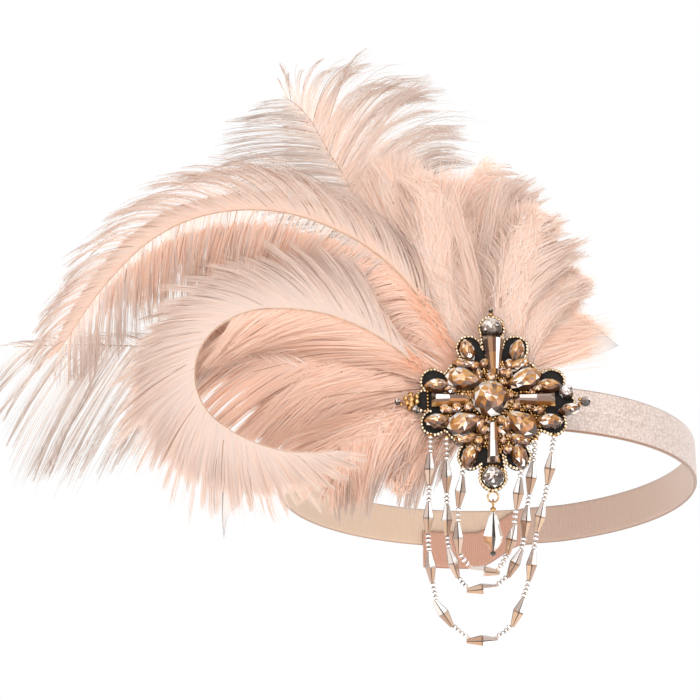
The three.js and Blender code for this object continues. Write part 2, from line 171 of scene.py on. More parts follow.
seat = {
    "lean": math.radians(18),
    "brooch": (-4.3, -105.9, -2.0),     # felt's front face in the leaning frame, mm
}


def leanToFrame(points):
    points = np.asarray(points, float)
    c, s = math.cos(seat["lean"]), math.sin(seat["lean"])
    x, y, z = points[..., 0], points[..., 1], points[..., 2]
    return np.stack([x, y * c + z * s, z * c - y * s], axis=-1)


def broochToFrame(points):
    return leanToFrame(np.asarray(points, float) + np.array(seat["brooch"]))


def plumbToFrame(points):
    return np.asarray(points, float) + broochToFrame([0.0, 0.0, 0.0])


# camera, light and floor

studio = {
    "camera": (-53.1, -800.0, 48.7),    # level, looking along +Y
    "lens": 105.3,
    "floor": -330.0,                    # the headband is held up, well above the table
    "table": "#F6F5F3",
    # soft boxes: place, aim, size in metres, and watts
    "boxes": {
        "keyBox": ((-0.4, -1.5, 0.85), (-0.05, -0.05, 0.05), 0.9, 12.5),
        "fillBox": ((0.75, -1.5, 0.35), (-0.05, -0.05, 0.05), 1.0, 7.5),
        "backBox": ((0.3, 1.3, 1.2), (-0.05, 0.0, 0.05), 1.2, 7),
    },
}


def setStage():
    camera = bpy.data.objects.new("camera", bpy.data.cameras.new("camera"))
    camera.data.sensor_width = 36
    camera.data.lens = studio["lens"]
    camera.location = Vector(studio["camera"]) * mm
    camera.rotation_euler = (math.radians(90), 0, 0)
    bpy.context.scene.collection.objects.link(camera)
    bpy.context.scene.camera = camera

    for name, (place, aim, size, watts) in studio["boxes"].items():
        lamp = bpy.data.lights.new(name, "AREA")
        lamp.size = size
        lamp.energy = watts
        box = bpy.data.objects.new(name, lamp)
        box.location = place
        box.rotation_euler = (Vector(aim) - Vector(place)).to_track_quat("-Z", "Y").to_euler()
        bpy.context.scene.collection.objects.link(box)

    # the room: white to the camera, a grey belt above it so that cut glass has something dark to show
    world = bpy.data.worlds.new("studio")
    bpy.context.scene.world = world
    world.use_nodes = True
    tree = world.node_tree
    tree.nodes.clear()
    path = addNode(tree, "ShaderNodeLightPath")
    place = addNode(tree, "ShaderNodeTexCoord")
    around = addNode(tree, "ShaderNodeSeparateXYZ", {0: place.outputs["Generated"]})
    flags = addNode(tree, "ShaderNodeValToRGB", {0: around.outputs["Z"]},
                    ramp=[(0.0, "#E8E6E4"), (0.45, "#C9C5C2"), (1.0, "#FFFFFF")])
    room = addNode(tree, "ShaderNodeBackground", {"Color": flags.outputs[0], "Strength": 0.98})
    sweep = addNode(tree, "ShaderNodeBackground", {"Color": (1, 1, 1, 1), "Strength": 1.0})
    both = addNode(tree, "ShaderNodeMixShader", {0: path.outputs["Is Camera Ray"],
                                                 1: room.outputs[0], 2: sweep.outputs[0]})
    addNode(tree, "ShaderNodeOutputWorld", {"Surface": both.outputs[0]})

    # lit acrylic table: glows white from below, as product tables do
    material, tree = newMaterial("litAcrylicSheet")
    grit = addNode(tree, "ShaderNodeTexNoise", {"Scale": 1 / (4 * mm), "Detail": 3.0})
    lift = addNode(tree, "ShaderNodeBump", {"Height": grit.outputs[0], "Strength": 0.03,
                                            "Distance": 0.1 * mm})
    skin = addNode(tree, "ShaderNodeBsdfPrincipled", {
        "Base Color": linear(studio["table"]), "Roughness": 0.9, "Normal": lift.outputs[0],
        "Emission Color": linear("#FFFFFF"), "Emission Strength": 0.6})
    addNode(tree, "ShaderNodeOutputMaterial", {"Surface": skin.outputs[0]})
    half, near, far = 6000, -3000, 1400       # ends below the picture, so the backdrop is even
    points = [(-half, near, studio["floor"]), (half, near, studio["floor"]),
              (half, far, studio["floor"]), (-half, far, studio["floor"])]
    floor = makePiece("floor", points, [[0, 1, 2, 3]], [material])
    bpy.context.scene.view_settings.view_transform = "Standard"


setStage()
print("stage set")


# materials

def dyedFeather(name, dye, wearShadeRamp, glow, surface):
    # dye: along the scale of tones; wear: root to tip, multiplied in, for greyer worn tips and for the
    # painted shade that each coat sets; glow: share of light that comes through
    material, tree = newMaterial(name)
    spot = addNode(tree, "ShaderNodeUVMap", uv_map="OFBake")
    part = addNode(tree, "ShaderNodeSeparateXYZ", {0: spot.outputs[0]})
    tone = addNode(tree, "ShaderNodeValToRGB", {0: part.outputs["Y"]}, ramp=dye)
    wearShade = addNode(tree, "ShaderNodeValToRGB", {0: part.outputs["X"]}, ramp=wearShadeRamp)
    colour = addNode(tree, "ShaderNodeMix", {0: 1.0, 6: tone.outputs[0], 7: wearShade.outputs[0]},
                     data_type="RGBA", blend_type="MULTIPLY")
    skin = addNode(tree, "ShaderNodeBsdfPrincipled", {
        "Base Color": colour.outputs[2], "Specular IOR Level": 0.25, **surface})
    through = addNode(tree, "ShaderNodeBsdfTranslucent", {"Color": colour.outputs[2]})
    both = addNode(tree, "ShaderNodeMixShader", {0: glow, 1: skin.outputs[0], 2: through.outputs[0]})
    addNode(tree, "ShaderNodeOutputMaterial", {"Surface": both.outputs[0]})
    return material


def grained(name, texture, size, ramp, surface, bump=None, detail=2.0):
    # a grain of this size (mm) colours the skin and, with a bump (strength, mm), lifts it
    material, tree = newMaterial(name)
    place = addNode(tree, "ShaderNodeTexCoord")
    grain = addNode(tree, texture, {"Vector": place.outputs["Object"], "Scale": 1 / (size * mm),
                                    "Detail": detail})
    colour = addNode(tree, "ShaderNodeValToRGB", {0: grain.outputs[0]}, ramp=ramp)
    surface = {"Base Color": colour.outputs[0], **surface}
    if bump:
        strength, high = bump
        lift = addNode(tree, "ShaderNodeBump", {"Height": grain.outputs[0], "Strength": strength,
                                                "Distance": high * mm})
        surface["Normal"] = lift.outputs[0]
    skin = addNode(tree, "ShaderNodeBsdfPrincipled", surface)
    addNode(tree, "ShaderNodeOutputMaterial", {"Surface": skin.outputs[0]})
    return material


def cutGlass(name, ramp, metal):
    # foil-backed cut glass: each facet's painted light picks its colour on the ramp, from painted shade to
    # painted highlight; some facets take the grey ramp
    material, tree = newMaterial(name)
    spot = addNode(tree, "ShaderNodeUVMap", uv_map="OFBake")
    part = addNode(tree, "ShaderNodeSeparateXYZ", {0: spot.outputs[0]})
    warm = addNode(tree, "ShaderNodeValToRGB", {0: part.outputs["X"]}, ramp=ramp)
    cool = addNode(tree, "ShaderNodeValToRGB", {0: part.outputs["X"]}, ramp=[
        (0.0, "#241E1C"), (0.3, "#66554F"), (0.6, "#A48E86"), (0.85, "#DACCC5"), (1.0, "#FFFFFF")])
    colour = addNode(tree, "ShaderNodeMix", {0: part.outputs["Y"], 6: warm.outputs[0], 7: cool.outputs[0]},
                     data_type="RGBA")
    skin = addNode(tree, "ShaderNodeBsdfPrincipled", {
        "Base Color": colour.outputs[2], "Metallic": metal, "Roughness": 0.08, "IOR": 1.56,
        "Coat Weight": 0.45, "Coat Roughness": 0.02})
    addNode(tree, "ShaderNodeOutputMaterial", {"Surface": skin.outputs[0]})
    return material


# dyed ostrich barbs: matt, hairy strands that let light through, pale where thick, greyer at the tips; the
# wear ramp multiplied in also carries painted shade
barb = dyedFeather(
    "dyedOstrichBarb",
    [(0.0, "#9C7B67"), (0.1, "#F9D8C2"), (0.45, "#FDE9DC"), (0.75, "#FBEEE6"), (1.0, "#E2DCD9")],
    [(0.0, "#FBEADE"), (0.25, "#FFFFFF"), (0.65, "#F8F5F3"), (1.0, "#D3C9C4")],
    0.5, {"Roughness": 0.75, "Sheen Weight": 0.15, "Sheen Roughness": 0.5})
# barbs still hooked together: a smooth matt blade, peach at its root and grey at its worn tip
vaneWeb = dyedFeather(
    "dyedOstrichVane", [(0.15, "#F0D6C6"), (0.55, "#EBDFD8"), (0.95, "#DBD7D6")],
    [(0.3, "#FFFFFF"), (1.0, "#C4C0C0")], 0.35, {"Roughness": 0.7})
# keratin quill, dyed with the barbs: smooth, a little waxy, darker than the down beside it
quill = grained(
    "dyedQuillKeratin", "ShaderNodeTexNoise", 3, [(0.3, "#A8846A"), (0.7, "#C4A185")],
    {"Roughness": 0.38, "IOR": 1.54, "Coat Weight": 0.1})
# wool felt, pressed: black, no shine, a fuzz of crossed fibres
felt = grained(
    "pressedWoolFelt", "ShaderNodeTexNoise", 0.7, [(0.3, "#0C0A09"), (0.75, "#1E1A17")],
    {"Roughness": 0.95, "Sheen Weight": 0.08, "Sheen Roughness": 0.6}, bump=(0.6, 0.3), detail=4.0)
# gilt brass beads: bright tumbled metal, a little tarnished between the beads
gilt = grained(
    "giltBrassTumbled", "ShaderNodeTexNoise", 1.6,
    [(0.32, "#8A6236"), (0.5, "#BF945C"), (0.72, "#EBD2A6")],
    {"Metallic": 1.0, "Roughness": 0.26})
# the same, plated paler: the light rim of the brooch
paleGilt = grained(
    "paleGiltBrassTumbled", "ShaderNodeTexNoise", 1.6,
    [(0.3, "#A58A68"), (0.5, "#DCC6A8"), (0.72, "#FCEEDA")],
    {"Metallic": 1.0, "Roughness": 0.26})
# cotton thread, waxed and wound: fine ridges with a dull shine
thread = grained(
    "waxedCottonThread", "ShaderNodeTexWave", 4, [(0.2, "#C9A78F"), (0.8, "#E6CBB6")],
    {"Roughness": 0.6}, bump=(0.4, 0.15))
# champagne glass, cut: brown for painted shade, honey in between, white for painted highlights
champagne = cutGlass("champagneCutGlass", [
    (0.0, "#3A200D"), (0.2, "#74431B"), (0.42, "#A4682A"), (0.62, "#BE8740"), (0.8, "#CB9E60"),
    (0.92, "#E2C8A4"), (0.98, "#FFFFFF")], 0.25)
# clear crystal, cut: grey for painted shade, white for painted highlights
smoke = cutGlass("clearCutCrystal", [
    (0.0, "#241E1B"), (0.3, "#68594F"), (0.55, "#A08F84"), (0.8, "#D8CCC3"), (1.0, "#FFFFFF")], 0.3)
# the dark at each end of these beads is painted shade where they touch
# seed beads lined with silver: near-white rings with a dark gap at each end
seedGlass = cutGlass("silverLinedSeedGlass", [
    (0.0, "#6F645E"), (0.4, "#B9AEA7"), (0.75, "#E6E0DC"), (1.0, "#FFFFFF")], 0.75)
print("materials ready")


# plumes

plumeBuild = {
    "quillRing": 3.0,           # mm, where the quills end behind the brooch
    "firstLayer": 3.0,
    "layerPitch": 1.8,
    "shaftRadius": (0.42, 0.11),        # root and tip
    "shaftStep": 0.25,
    "shaftSides": 8,
    "hiddenShaft": 0.6,         # shafts lost in their own down are this much thinner
    "barbSteps": 24,            # a barb's curve is walked in this many steps
}

# how single strands differ from their coat
strand = {
    "turn": 0.06, "lockTurn": 0.07,             # radians, times the fray
    "uneven": 0.03, "stretch": (0.35, 1.2),     # shares of the length
    "strayStretch": (1.02, 1.16), "strayHold": 0.4,
    "lockEdge": 0.25, "lockMiddle": (0.3, 0.7),         # shares of a lock
    "widths": (0.7, 1.2), "tipWidth": 0.3, "taper": 0.8,
    "tones": (0.12, 0.98), "darkTone": 0.03,
    "stripe": 0.004,            # half of the thin stripe that a strand takes on the dye scale
}

# a coat's usual habits; each coat below changes what it needs
# width: mm at root and tip; clump: mm between locks; pull: how tightly a lock closes, close: how late it does
# hook: degrees that a barb turns on towards the shaft's tip; droop: how far it turns to the ground
# tone: 0 dark, 0.2 salmon, 1 pale grey, and its spread; shade: root and tip on the wear scale, which greys
# the tips and paints shade; coats that lie in shadow get paler tones and shades, painted light
# fray: how unruly; ragged: how uneven the tips; stray: share of long loose ones
# roll: how far the flat strands turn; skip: bare share at the root; dark: share of undyed dark barbs
# cup: how far a barb's tip falls back, as a share of its length; swell: how much that differs
# root: mm that the roots lie scattered about the shaft; bits: straight bits in one strand
coatHabit = {
    "width": (0.45, 0.14), "clump": 3.0, "pull": 0.6, "close": 1.2, "hook": 0, "droop": 0.35,
    "tone": 0.6, "spread": 0.1, "shade": (0.0, 1.0), "fray": 1.0, "ragged": 0.12, "stray": 0.06,
    "roll": 0.5, "skip": 0.0, "dark": 0.012, "cup": 0.2, "swell": 0.07, "root": 0.0, "bits": 8}
# smooth webs catch more light, so their shade sits further along the wear scale: painted shade
closeWeb = {
    "width": (0.8, 0.22), "clump": 2.4, "pull": 0.5, "roll": 0.14, "fray": 0.5, "stray": 0.0,
    "shade": (0.62, 0.76), "spread": 0.07, "dark": 0.002}
strings = {
    "width": (0.26, 0.17), "clump": 1.45, "pull": 0.98, "close": 0.7, "fray": 0.9, "roll": 0.35,
    "shade": (0.58, 1.0), "dark": 0.035}
# the fans' brush lies in its own shadow, so its shade stays near the pale root of the wear scale: painted
# light
fanBrush = {
    "clump": 3.4, "pull": 0.5, "fray": 0.8, "ragged": 0.24, "stray": 0.14, "width": (0.3, 0.14),
    "shade": (0.3, 0.55), "spread": 0.16, "roll": 0.2, "swell": 0.08, "root": 2.0, "dark": 0.003, "bits": 6}
fanWisps = {
    "clump": 2.6, "pull": 0.9, "close": 0.9, "fray": 2.0, "ragged": 0.2, "stray": 0.0, "width": (0.34, 0.17),
    "shade": (0.4, 0.85), "spread": 0.14, "tone": 0.72, "roll": 0.25, "swell": 0.09, "root": 1.6,
    "dark": 0.003, "bits": 6}
fanRim = {**fanWisps, "fray": 1.3, "droop": 0.22, "tone": 0.6, "pull": 0.7, "ragged": 0.24, "hook": -34,
          "root": 2.4}
fanFold = {**closeWeb, "width": (0.6, 0.2), "shade": (0.25, 0.6), "fray": 0.7, "droop": 0.05,
           "spread": 0.12, "bits": 5}
# loose points at the fan's right edge, with white between them
fanPoints = {**strings, "clump": 2.2, "width": (0.32, 0.16), "tone": 0.7, "shade": (0.4, 0.9), "dark": 0.0,
             "droop": 0.3, "cup": -0.1}
downLocks = {
    "droop": 0.45, "clump": 3.4, "pull": 0.8, "fray": 1.4, "ragged": 0.22, "spread": 0.13,
    "shade": (0.5, 0.8), "root": 1.8, "swell": 0.1}
downTips = {**strings, "droop": 0.5, "clump": 2.2, "dark": 0.0}


def coat(side, count, habit, **own):
    return {**coatHabit, **habit, **own, "side": side, "count": count}


def coatPair(count, habit, **own):
    return [coat(side, count, habit, **own) for side in (1, -1)]


# rows: run, turn, depth of the shaft; coats: barbs on one side, their length (mm) and lean (degrees) along it
plumes = {
    "plume_arch": {
        "angle": 126, "heading": 124, "layer": 1,
        "rows": [(22, -2, 0), (14, -1, -2), (25, 19, -6), (35, 26, -8), (30, 27, -8), (30, 32, -7),
                 (30, 14, -5), (14, -4, -4)],
        "coats": [
            # upper web, closed near the shaft, and the strings that leave it for the rim
            coat(-1, 2500, closeWeb, tone=0.42, hook=14, droop=0.3,
                 length=[(20, 10), (36, 17), (61, 17), (96, 16), (126, 15), (156, 13), (180, 10),
                         (199, 5)],
                 lean=[(20, 20), (36, 22), (61, 30), (96, 38), (126, 40), (156, 41), (186, 40),
                       (199, 25)]),
            coat(-1, 900, strings, tone=0.66, hook=28, droop=0.36,
                 length=[(20, 16), (36, 42), (61, 44), (96, 41), (126, 35), (156, 30), (186, 24),
                         (199, 10)],
                 lean=[(20, 20), (36, 24), (61, 32), (96, 41), (126, 43), (156, 44), (186, 42),
                       (199, 25)]),
            # lower barbs hang almost straight down, in separate strings
            coat(1, 800, strings, tone=0.78, droop=0.85, ragged=0.22, fray=1.6,
                 length=[(60, 18), (96, 24), (126, 28), (156, 31), (180, 26), (199, 12)],
                 lean=[(60, 62), (96, 78), (126, 66), (156, 44), (199, 25)]),
            # soft mass under it, first the right half, then the left; the right half lies in shadow and is
            # set paler, painted light
            coat(1, 900, coatHabit, droop=0.7, clump=4.0, pull=0.45, tone=0.46, skip=0.2, fray=1.3,
                 ragged=0.2, shade=(0.1, 0.4),
                 length=[(20, 8), (36, 27), (61, 29), (78, 27)], lean=[(20, 24), (61, 52), (78, 62)]),
            coat(1, 1300, coatHabit, droop=0.7, clump=3.4, pull=0.6, tone=0.28, skip=0.25, fray=1.5,
                 ragged=0.24, shade=(0.6, 0.85),
                 length=[(70, 26), (96, 28), (125, 28), (150, 24), (172, 10)],
                 lean=[(70, 58), (96, 75), (125, 64), (150, 48), (172, 36)]),
            # long barbs close under the quill
            coat(1, 1000, coatHabit, droop=0.2, clump=2.6, tone=0.4, shade=(0.15, 0.45),
                 length=[(12, 30), (30, 38), (50, 34), (70, 20)], lean=[(12, 22), (50, 26), (70, 40)]),
            coat(1, 900, coatHabit, droop=0.04, clump=2.6, tone=0.28, root=1.2,
                 length=[(2, 30), (16, 42), (30, 38), (44, 22)], lean=[(2, 14), (16, 10), (44, 18)]),
        ],
    },
    "plume_curl": {
        "angle": 152, "heading": 152, "layer": 0,
        "rows": [(24, -2, 0), (14, -2, -6), (22, 20, -12), (22, 18, -15), (16, 32, -16), (20, 52, -17),
                 (20, 50, -19), (20, 22, -21), (22, 28, -23)],
        "coats": [
            # outer web of the hook and its fuzzy rim
            coat(-1, 3600, closeWeb, tone=0.72, hook=10, droop=0.2, cup=0.04,
                 length=[(14, 22), (38, 27), (60, 25), (82, 24), (98, 25), (118, 27), (138, 24),
                         (158, 18), (179, 7)],
                 lean=[(14, 14), (38, 38), (60, 41), (82, 37), (98, 40), (118, 58), (138, 60), (150, 50),
                       (165, 30), (179, 10)]),
            coat(-1, 1900, strings, tone=0.7, hook=14, droop=0.26, ragged=0.2, clump=1.8, pull=0.88,
                 cup=0.02, shade=(0.55, 0.85),
                 length=[(14, 30), (38, 36), (60, 35), (82, 31), (98, 31), (118, 34), (138, 31),
                         (158, 24), (179, 13)],
                 lean=[(14, 16), (38, 42), (60, 43), (82, 38), (98, 40), (118, 58), (138, 62), (150, 52),
                       (165, 33), (179, 12)]),
            # long barbs that sweep across the inside of the hook, from the brooch to the left
            coat(1, 1900, coatHabit, tone=0.37, droop=0.3, clump=2.2, pull=0.8, fray=1.0,
                 width=(0.42, 0.18), shade=(0.3, 0.8),
                 length=[(20, 30), (36, 56), (50, 52), (66, 40), (84, 26), (93, 12)],
                 lean=[(20, 14), (40, 17), (60, 22), (84, 27), (93, 30)]),
            coat(-1, 700, coatHabit, tone=0.28, droop=0.02, clump=2.6, root=1.2,
                 length=[(2, 30), (16, 40), (30, 30)], lean=[(2, 8), (16, 10), (30, 14)]),
            coat(1, 420, coatHabit, tone=0.3, droop=0.06, clump=2.6, root=1.2,
                 length=[(2, 32), (16, 38), (30, 30)], lean=[(2, 6), (16, 9), (30, 12)]),
        ],
        # one lock of the hook's rim ends in a smooth point
        "vane": {"upper": [(-91.0, -33), (-91.0, -38), (-90.8, -44), (-90.1, -50.6)],
                 "lower": [(-83.5, -33), (-84.7, -38.5), (-88.5, -42.5), (-90.1, -50.6)],
                 "depth": -14.5, "tones": (0.55, 0.98)},
    },
    "plume_sweep": {
        "angle": 140, "heading": 160, "layer": 2,
        "rows": [(24, 5, 0), (32, 7, 1), (50, 2, 2), (30, 5, 2), (30, 5, 2)],
        "coats": [
            # salmon barbs seen through the hook, white between their tips
            coat(1, 900, strings, tone=0.36, droop=0.35, clump=2.6, width=(0.42, 0.2), shade=(0.3, 0.85),
                 length=[(20, 16), (36, 44), (60, 46), (84, 38), (104, 34)],
                 lean=[(20, 22), (50, 30), (84, 40), (104, 50)]),
            coat(1, 420, strings, tone=0.36, droop=0.3, clump=2.8, width=(0.4, 0.2), shade=(0.3, 0.85),
                 length=[(28, 40), (44, 46), (62, 36)], lean=[(28, 38), (44, 44), (62, 50)]),
            coat(1, 1500, coatHabit, tone=0.36, droop=0.22, clump=2.4, pull=0.6, root=1.6,
                 shade=(0.2, 0.75),
                 length=[(1, 42), (10, 46), (24, 48), (44, 40), (60, 26)],
                 lean=[(1, 36), (10, 30), (24, 22), (60, 26)]),
            coat(-1, 1000, coatHabit, tone=0.34, clump=2.2, pull=0.7, shade=(0.1, 0.7),
                 length=[(20, 12), (40, 26), (70, 26), (92, 10)], lean=[(20, 14), (70, 20), (92, 26)]),
            coat(-1, 130, strings, tone=0.85,
                 length=[(92, 18), (136, 14), (165, 7)], lean=[(92, 34), (136, 30), (165, 22)]),
            coat(1, 320, coatHabit, tone=0.36, droop=0.15, clump=2.4, pull=0.6, shade=(0.2, 0.75),
                 length=[(58, 22), (76, 26), (94, 16)], lean=[(58, 16), (76, 22), (94, 30)]),
            coat(-1, 620, coatHabit, tone=0.5, droop=0.06, clump=2.4, pull=0.5, shade=(0.3, 0.5),
                 root=1.0, cup=0.05,
                 length=[(46, 28), (66, 36), (84, 30), (104, 14)], lean=[(46, 14), (66, 24), (104, 28)]),
            # sparse strings at the far left
            coat(1, 360, strings, tone=0.9, droop=0.2, clump=1.5, width=(0.22, 0.17),
                 length=[(92, 40), (112, 52), (136, 52), (152, 34), (165, 14)],
                 lean=[(92, 60), (136, 60), (165, 34)]),
        ],
    },
    "plume_crest": {
        "angle": 135, "heading": 118, "layer": 4,
        "rows": [(26, 0, 0), (30, 0, 8), (40, 0, 14), (16, 2, 15), (14, -4, 15), (12, 22, 15),
                 (6, 14, 15)],
        "coats": [
            # long loose wisps to the right, parallel strings to the left, down between
            coat(-1, 820, strings, tone=0.78, hook=-14, droop=0.44, clump=2.1, pull=0.97,
                 width=(0.28, 0.18), fray=1.2, ragged=0.18, shade=(0.5, 1.0),
                 length=[(24, 6), (56, 22), (78, 42), (96, 58), (112, 52), (126, 36), (138, 19),
                         (143, 9)],
                 lean=[(24, 34), (56, 44), (96, 62), (104, 56), (112, 46), (126, 42), (143, 36)]),
            coat(-1, 700, fanBrush, tone=0.6, hook=-10, droop=0.4,
                 length=[(24, 6), (56, 18), (84, 34), (112, 24), (138, 10)],
                 lean=[(24, 34), (56, 44), (96, 60), (138, 40)]),
            coat(1, 500, strings, tone=0.72, droop=0.25, clump=2.0, width=(0.34, 0.17),
                 length=[(24, 6), (56, 14), (84, 22), (112, 20), (138, 8)],
                 lean=[(24, 34), (56, 40), (96, 48), (138, 36)]),
            coat(1, 560, strings, tone=0.95, droop=0.25, clump=1.6,
                 length=[(24, 6), (56, 16), (80, 36), (96, 42), (112, 44), (126, 33), (138, 16),
                         (143, 8)],
                 lean=[(24, 40), (56, 45), (96, 54), (126, 50), (143, 24)]),
        ],
    },
    "plume_fan_1": {
        "angle": 120, "heading": 124, "layer": 3,
        "rows": [(26, 0, 0), (16, 0, 2), (20, -32, 4), (22, 0, 5), (14, 26, 5)],
        "coats": [
            *coatPair(800, fanFold, tone=0.5,
                      length=[(20, 16), (42, 30), (62, 28), (84, 18), (97, 6)],
                      lean=[(20, 9), (62, 12), (97, 14)]),
            *coatPair(1000, fanBrush, tone=0.6, droop=0.12,
                      length=[(20, 18), (42, 36), (62, 36), (84, 24), (97, 8)],
                      lean=[(20, 12), (62, 17), (97, 18)]),
        ],
    },
    "plume_fan_2": {
        "angle": 100, "heading": 117, "layer": 2,
        "rows": [(20, 0, 0), (8, -2, 0), (30, -30, -1), (10, 8, -1), (16, 36, -1)],
        "coats": [
            *coatPair(900, fanFold, tone=0.44,
                      length=[(16, 18), (28, 32), (58, 28), (83, 6)], lean=[(16, 8), (58, 12), (83, 14)]),
            *coatPair(1000, fanBrush, tone=0.56, droop=0.12,
                      length=[(16, 18), (28, 38), (58, 36), (83, 9)],
                      lean=[(16, 10), (58, 16), (83, 18)]),
            *coatPair(500, fanRim, droop=0.1,
                      length=[(16, 26), (40, 34), (60, 24), (83, 6)], lean=[(16, 8), (40, 12), (83, 14)]),
        ],
    },
    "plume_fan_3": {
        "angle": 60, "heading": 95, "layer": 4,
        "rows": [(24, 0, 0), (27, 0, 3), (15, 0, 5), (20, -20, 6), (10, -25, 6)],
        "coats": [
            coat(1, 1400, fanBrush, tone=0.57, droop=0.15, cup=-0.12,
                 length=[(18, 18), (30, 40), (51, 30), (66, 17), (80, 7), (95, 2)],
                 lean=[(18, 8), (51, 12), (95, 16)]),
            coat(-1, 1400, fanBrush, tone=0.57, droop=0.42, cup=-0.12,
                 length=[(18, 18), (30, 40), (51, 30), (66, 18), (80, 8), (95, 2)],
                 lean=[(18, 9), (51, 16), (66, 24), (95, 30)]),
            coat(-1, 420, fanWisps, droop=0.46, cup=-0.12,
                 length=[(26, 38), (51, 34), (66, 22), (80, 10), (95, 3)],
                 lean=[(26, 14), (51, 24), (66, 34), (95, 40)]),
            coat(-1, 800, fanRim, cup=-0.1,
                 length=[(18, 26), (40, 36), (60, 30), (80, 17), (92, 7)],
                 lean=[(18, 8), (40, 20), (60, 34), (92, 44)]),
            coat(1, 800, fanRim, cup=-0.1,
                 length=[(12, 34), (40, 34), (60, 22), (80, 8), (92, 3)],
                 lean=[(12, 30), (24, 18), (40, 10), (92, 14)]),
            coat(-1, 260, fanPoints,
                 length=[(44, 34), (60, 33), (80, 20), (94, 9)],
                 lean=[(44, 34), (60, 46), (80, 54), (94, 50)]),
        ],
    },
    "plume_fan_4": {
        "angle": 60, "heading": 80, "layer": 0,
        "rows": [(22, 0, 0), (14, 0, -2), (15, -6, -4), (16, -10, -4)],
        "coats": [
            coat(1, 1400, fanBrush, tone=0.54, droop=0.1,
                 length=[(16, 20), (30, 38), (40, 32), (51, 22), (66, 6)],
                 lean=[(16, 8), (40, 12), (66, 14)]),
            coat(-1, 1400, fanBrush, tone=0.54, droop=0.3,
                 length=[(16, 20), (30, 38), (40, 30), (51, 19), (66, 5)],
                 lean=[(16, 9), (40, 15), (66, 18)]),
            coat(-1, 380, fanWisps, droop=0.4,
                 length=[(20, 30), (34, 34), (51, 17), (66, 6)], lean=[(20, 12), (40, 24), (66, 30)]),
            coat(-1, 900, fanRim,
                 length=[(16, 26), (30, 28), (40, 20), (51, 12), (66, 6)],
                 lean=[(16, 10), (30, 18), (46, 32), (66, 38)]),
            coat(1, 600, fanRim,
                 length=[(16, 24), (30, 34), (46, 22), (66, 5)], lean=[(16, 8), (30, 12), (66, 14)]),
            coat(-1, 200, fanPoints,
                 length=[(26, 36), (40, 28), (52, 19), (66, 9)],
                 lean=[(26, 26), (40, 38), (52, 42), (66, 40)]),
        ],
    },
    "plume_fan_5": {
        "angle": 50, "heading": 66, "layer": 1,
        "rows": [(18, 0, 0), (8, 0, 0), (18, -20, 2), (10, -12, 2)],
        "coats": [
            coat(1, 1300, fanBrush, tone=0.56, droop=0.1,
                 length=[(14, 18), (26, 32), (44, 15), (53, 5)], lean=[(14, 9), (30, 13), (53, 15)]),
            coat(-1, 1300, fanBrush, tone=0.56, droop=0.2,
                 length=[(14, 18), (26, 30), (44, 15), (53, 5)], lean=[(14, 9), (30, 14), (53, 16)]),
            coat(-1, 300, fanWisps, droop=0.24,
                 length=[(16, 26), (30, 28), (44, 16), (53, 6)], lean=[(16, 12), (30, 20), (53, 24)]),
            coat(-1, 500, fanRim, droop=0.1,
                 length=[(14, 20), (26, 26), (44, 13), (53, 5)],
                 lean=[(14, 8), (26, 14), (40, 20), (53, 22)]),
            coat(1, 700, fanRim, droop=0.05,
                 length=[(14, 20), (26, 30), (44, 14), (53, 5)], lean=[(14, 8), (26, 12), (53, 18)]),
        ],
    },
    "plume_fan_6": {
        "angle": 40, "heading": 58, "layer": 2,
        "rows": [(18, 0, 0), (6, 0, 1), (14, -44, 3), (20, -33, 4)],
        "coats": [
            coat(1, 1300, fanBrush, tone=0.46, droop=0.06,
                 length=[(14, 16), (24, 24), (38, 9), (46, 4)], lean=[(14, 10), (38, 16), (46, 16)]),
            coat(-1, 1300, fanBrush, tone=0.44, droop=0.04, fray=1.3,
                 length=[(12, 30), (24, 28), (38, 11), (46, 4)],
                 lean=[(12, 40), (24, 38), (38, 16), (46, 14)]),
        ],
        # its tip stays closed, smooth and pale
        "vane": {"upper": [(30, 31.6), (33, 32.6), (34.9, 32.4), (40, 28.2), (45, 23.7)],
                 "lower": [(30, 21.2), (33, 20.9), (36, 20.8), (41, 21.6), (45, 23.7)],
                 "depth": 9.4, "tones": (0.4, 0.98)},
    },
    "plume_down_1": {
        "angle": 200, "heading": 186, "layer": 0,
        "rows": [(22, 4, 0), (5, 4, -1), (12, 18, -3), (24, 40, -4)],
        "coats": [
            coat(1, 1500, downLocks, tone=0.35,
                 length=[(16, 21), (27, 25), (39, 25), (62, 11)], lean=[(16, 42), (39, 44), (62, 22)]),
            coat(1, 260, downTips, tone=0.8,
                 length=[(16, 27), (27, 33), (39, 31), (62, 14)], lean=[(16, 46), (39, 48), (62, 24)]),
            coat(-1, 1200, downLocks, tone=0.4,
                 length=[(16, 10), (27, 16), (39, 19), (62, 10)], lean=[(16, 14), (39, 16), (62, 16)]),
            # barbs that close the foot of the hook
            coat(-1, 1300, downLocks, tone=0.3, droop=0.24, clump=2.6,
                 length=[(8, 34), (22, 42), (39, 38), (52, 20)],
                 lean=[(8, 2), (22, 8), (39, 16), (52, 20)]),
        ],
    },
    "plume_down_2": {
        "angle": 205, "heading": 212, "layer": 1,
        "rows": [(18, 2, 0), (5, 6, 1), (10, 18, 2), (10, 6, 2)],
        "coats": [
            coat(1, 900, downLocks, tone=0.35, ragged=0.3,
                 length=[(8, 15), (20, 19), (30, 11), (40, 4)], lean=[(8, 26), (30, 22), (40, 12)]),
            coat(1, 220, downTips, tone=0.8,
                 length=[(8, 20), (20, 25), (30, 16), (40, 7)], lean=[(8, 30), (30, 26), (40, 14)]),
            coat(-1, 800, downLocks, tone=0.36, ragged=0.3,
                 length=[(8, 16), (20, 18), (30, 12), (40, 4)], lean=[(8, 12), (30, 14), (40, 10)]),
        ],
    },
}


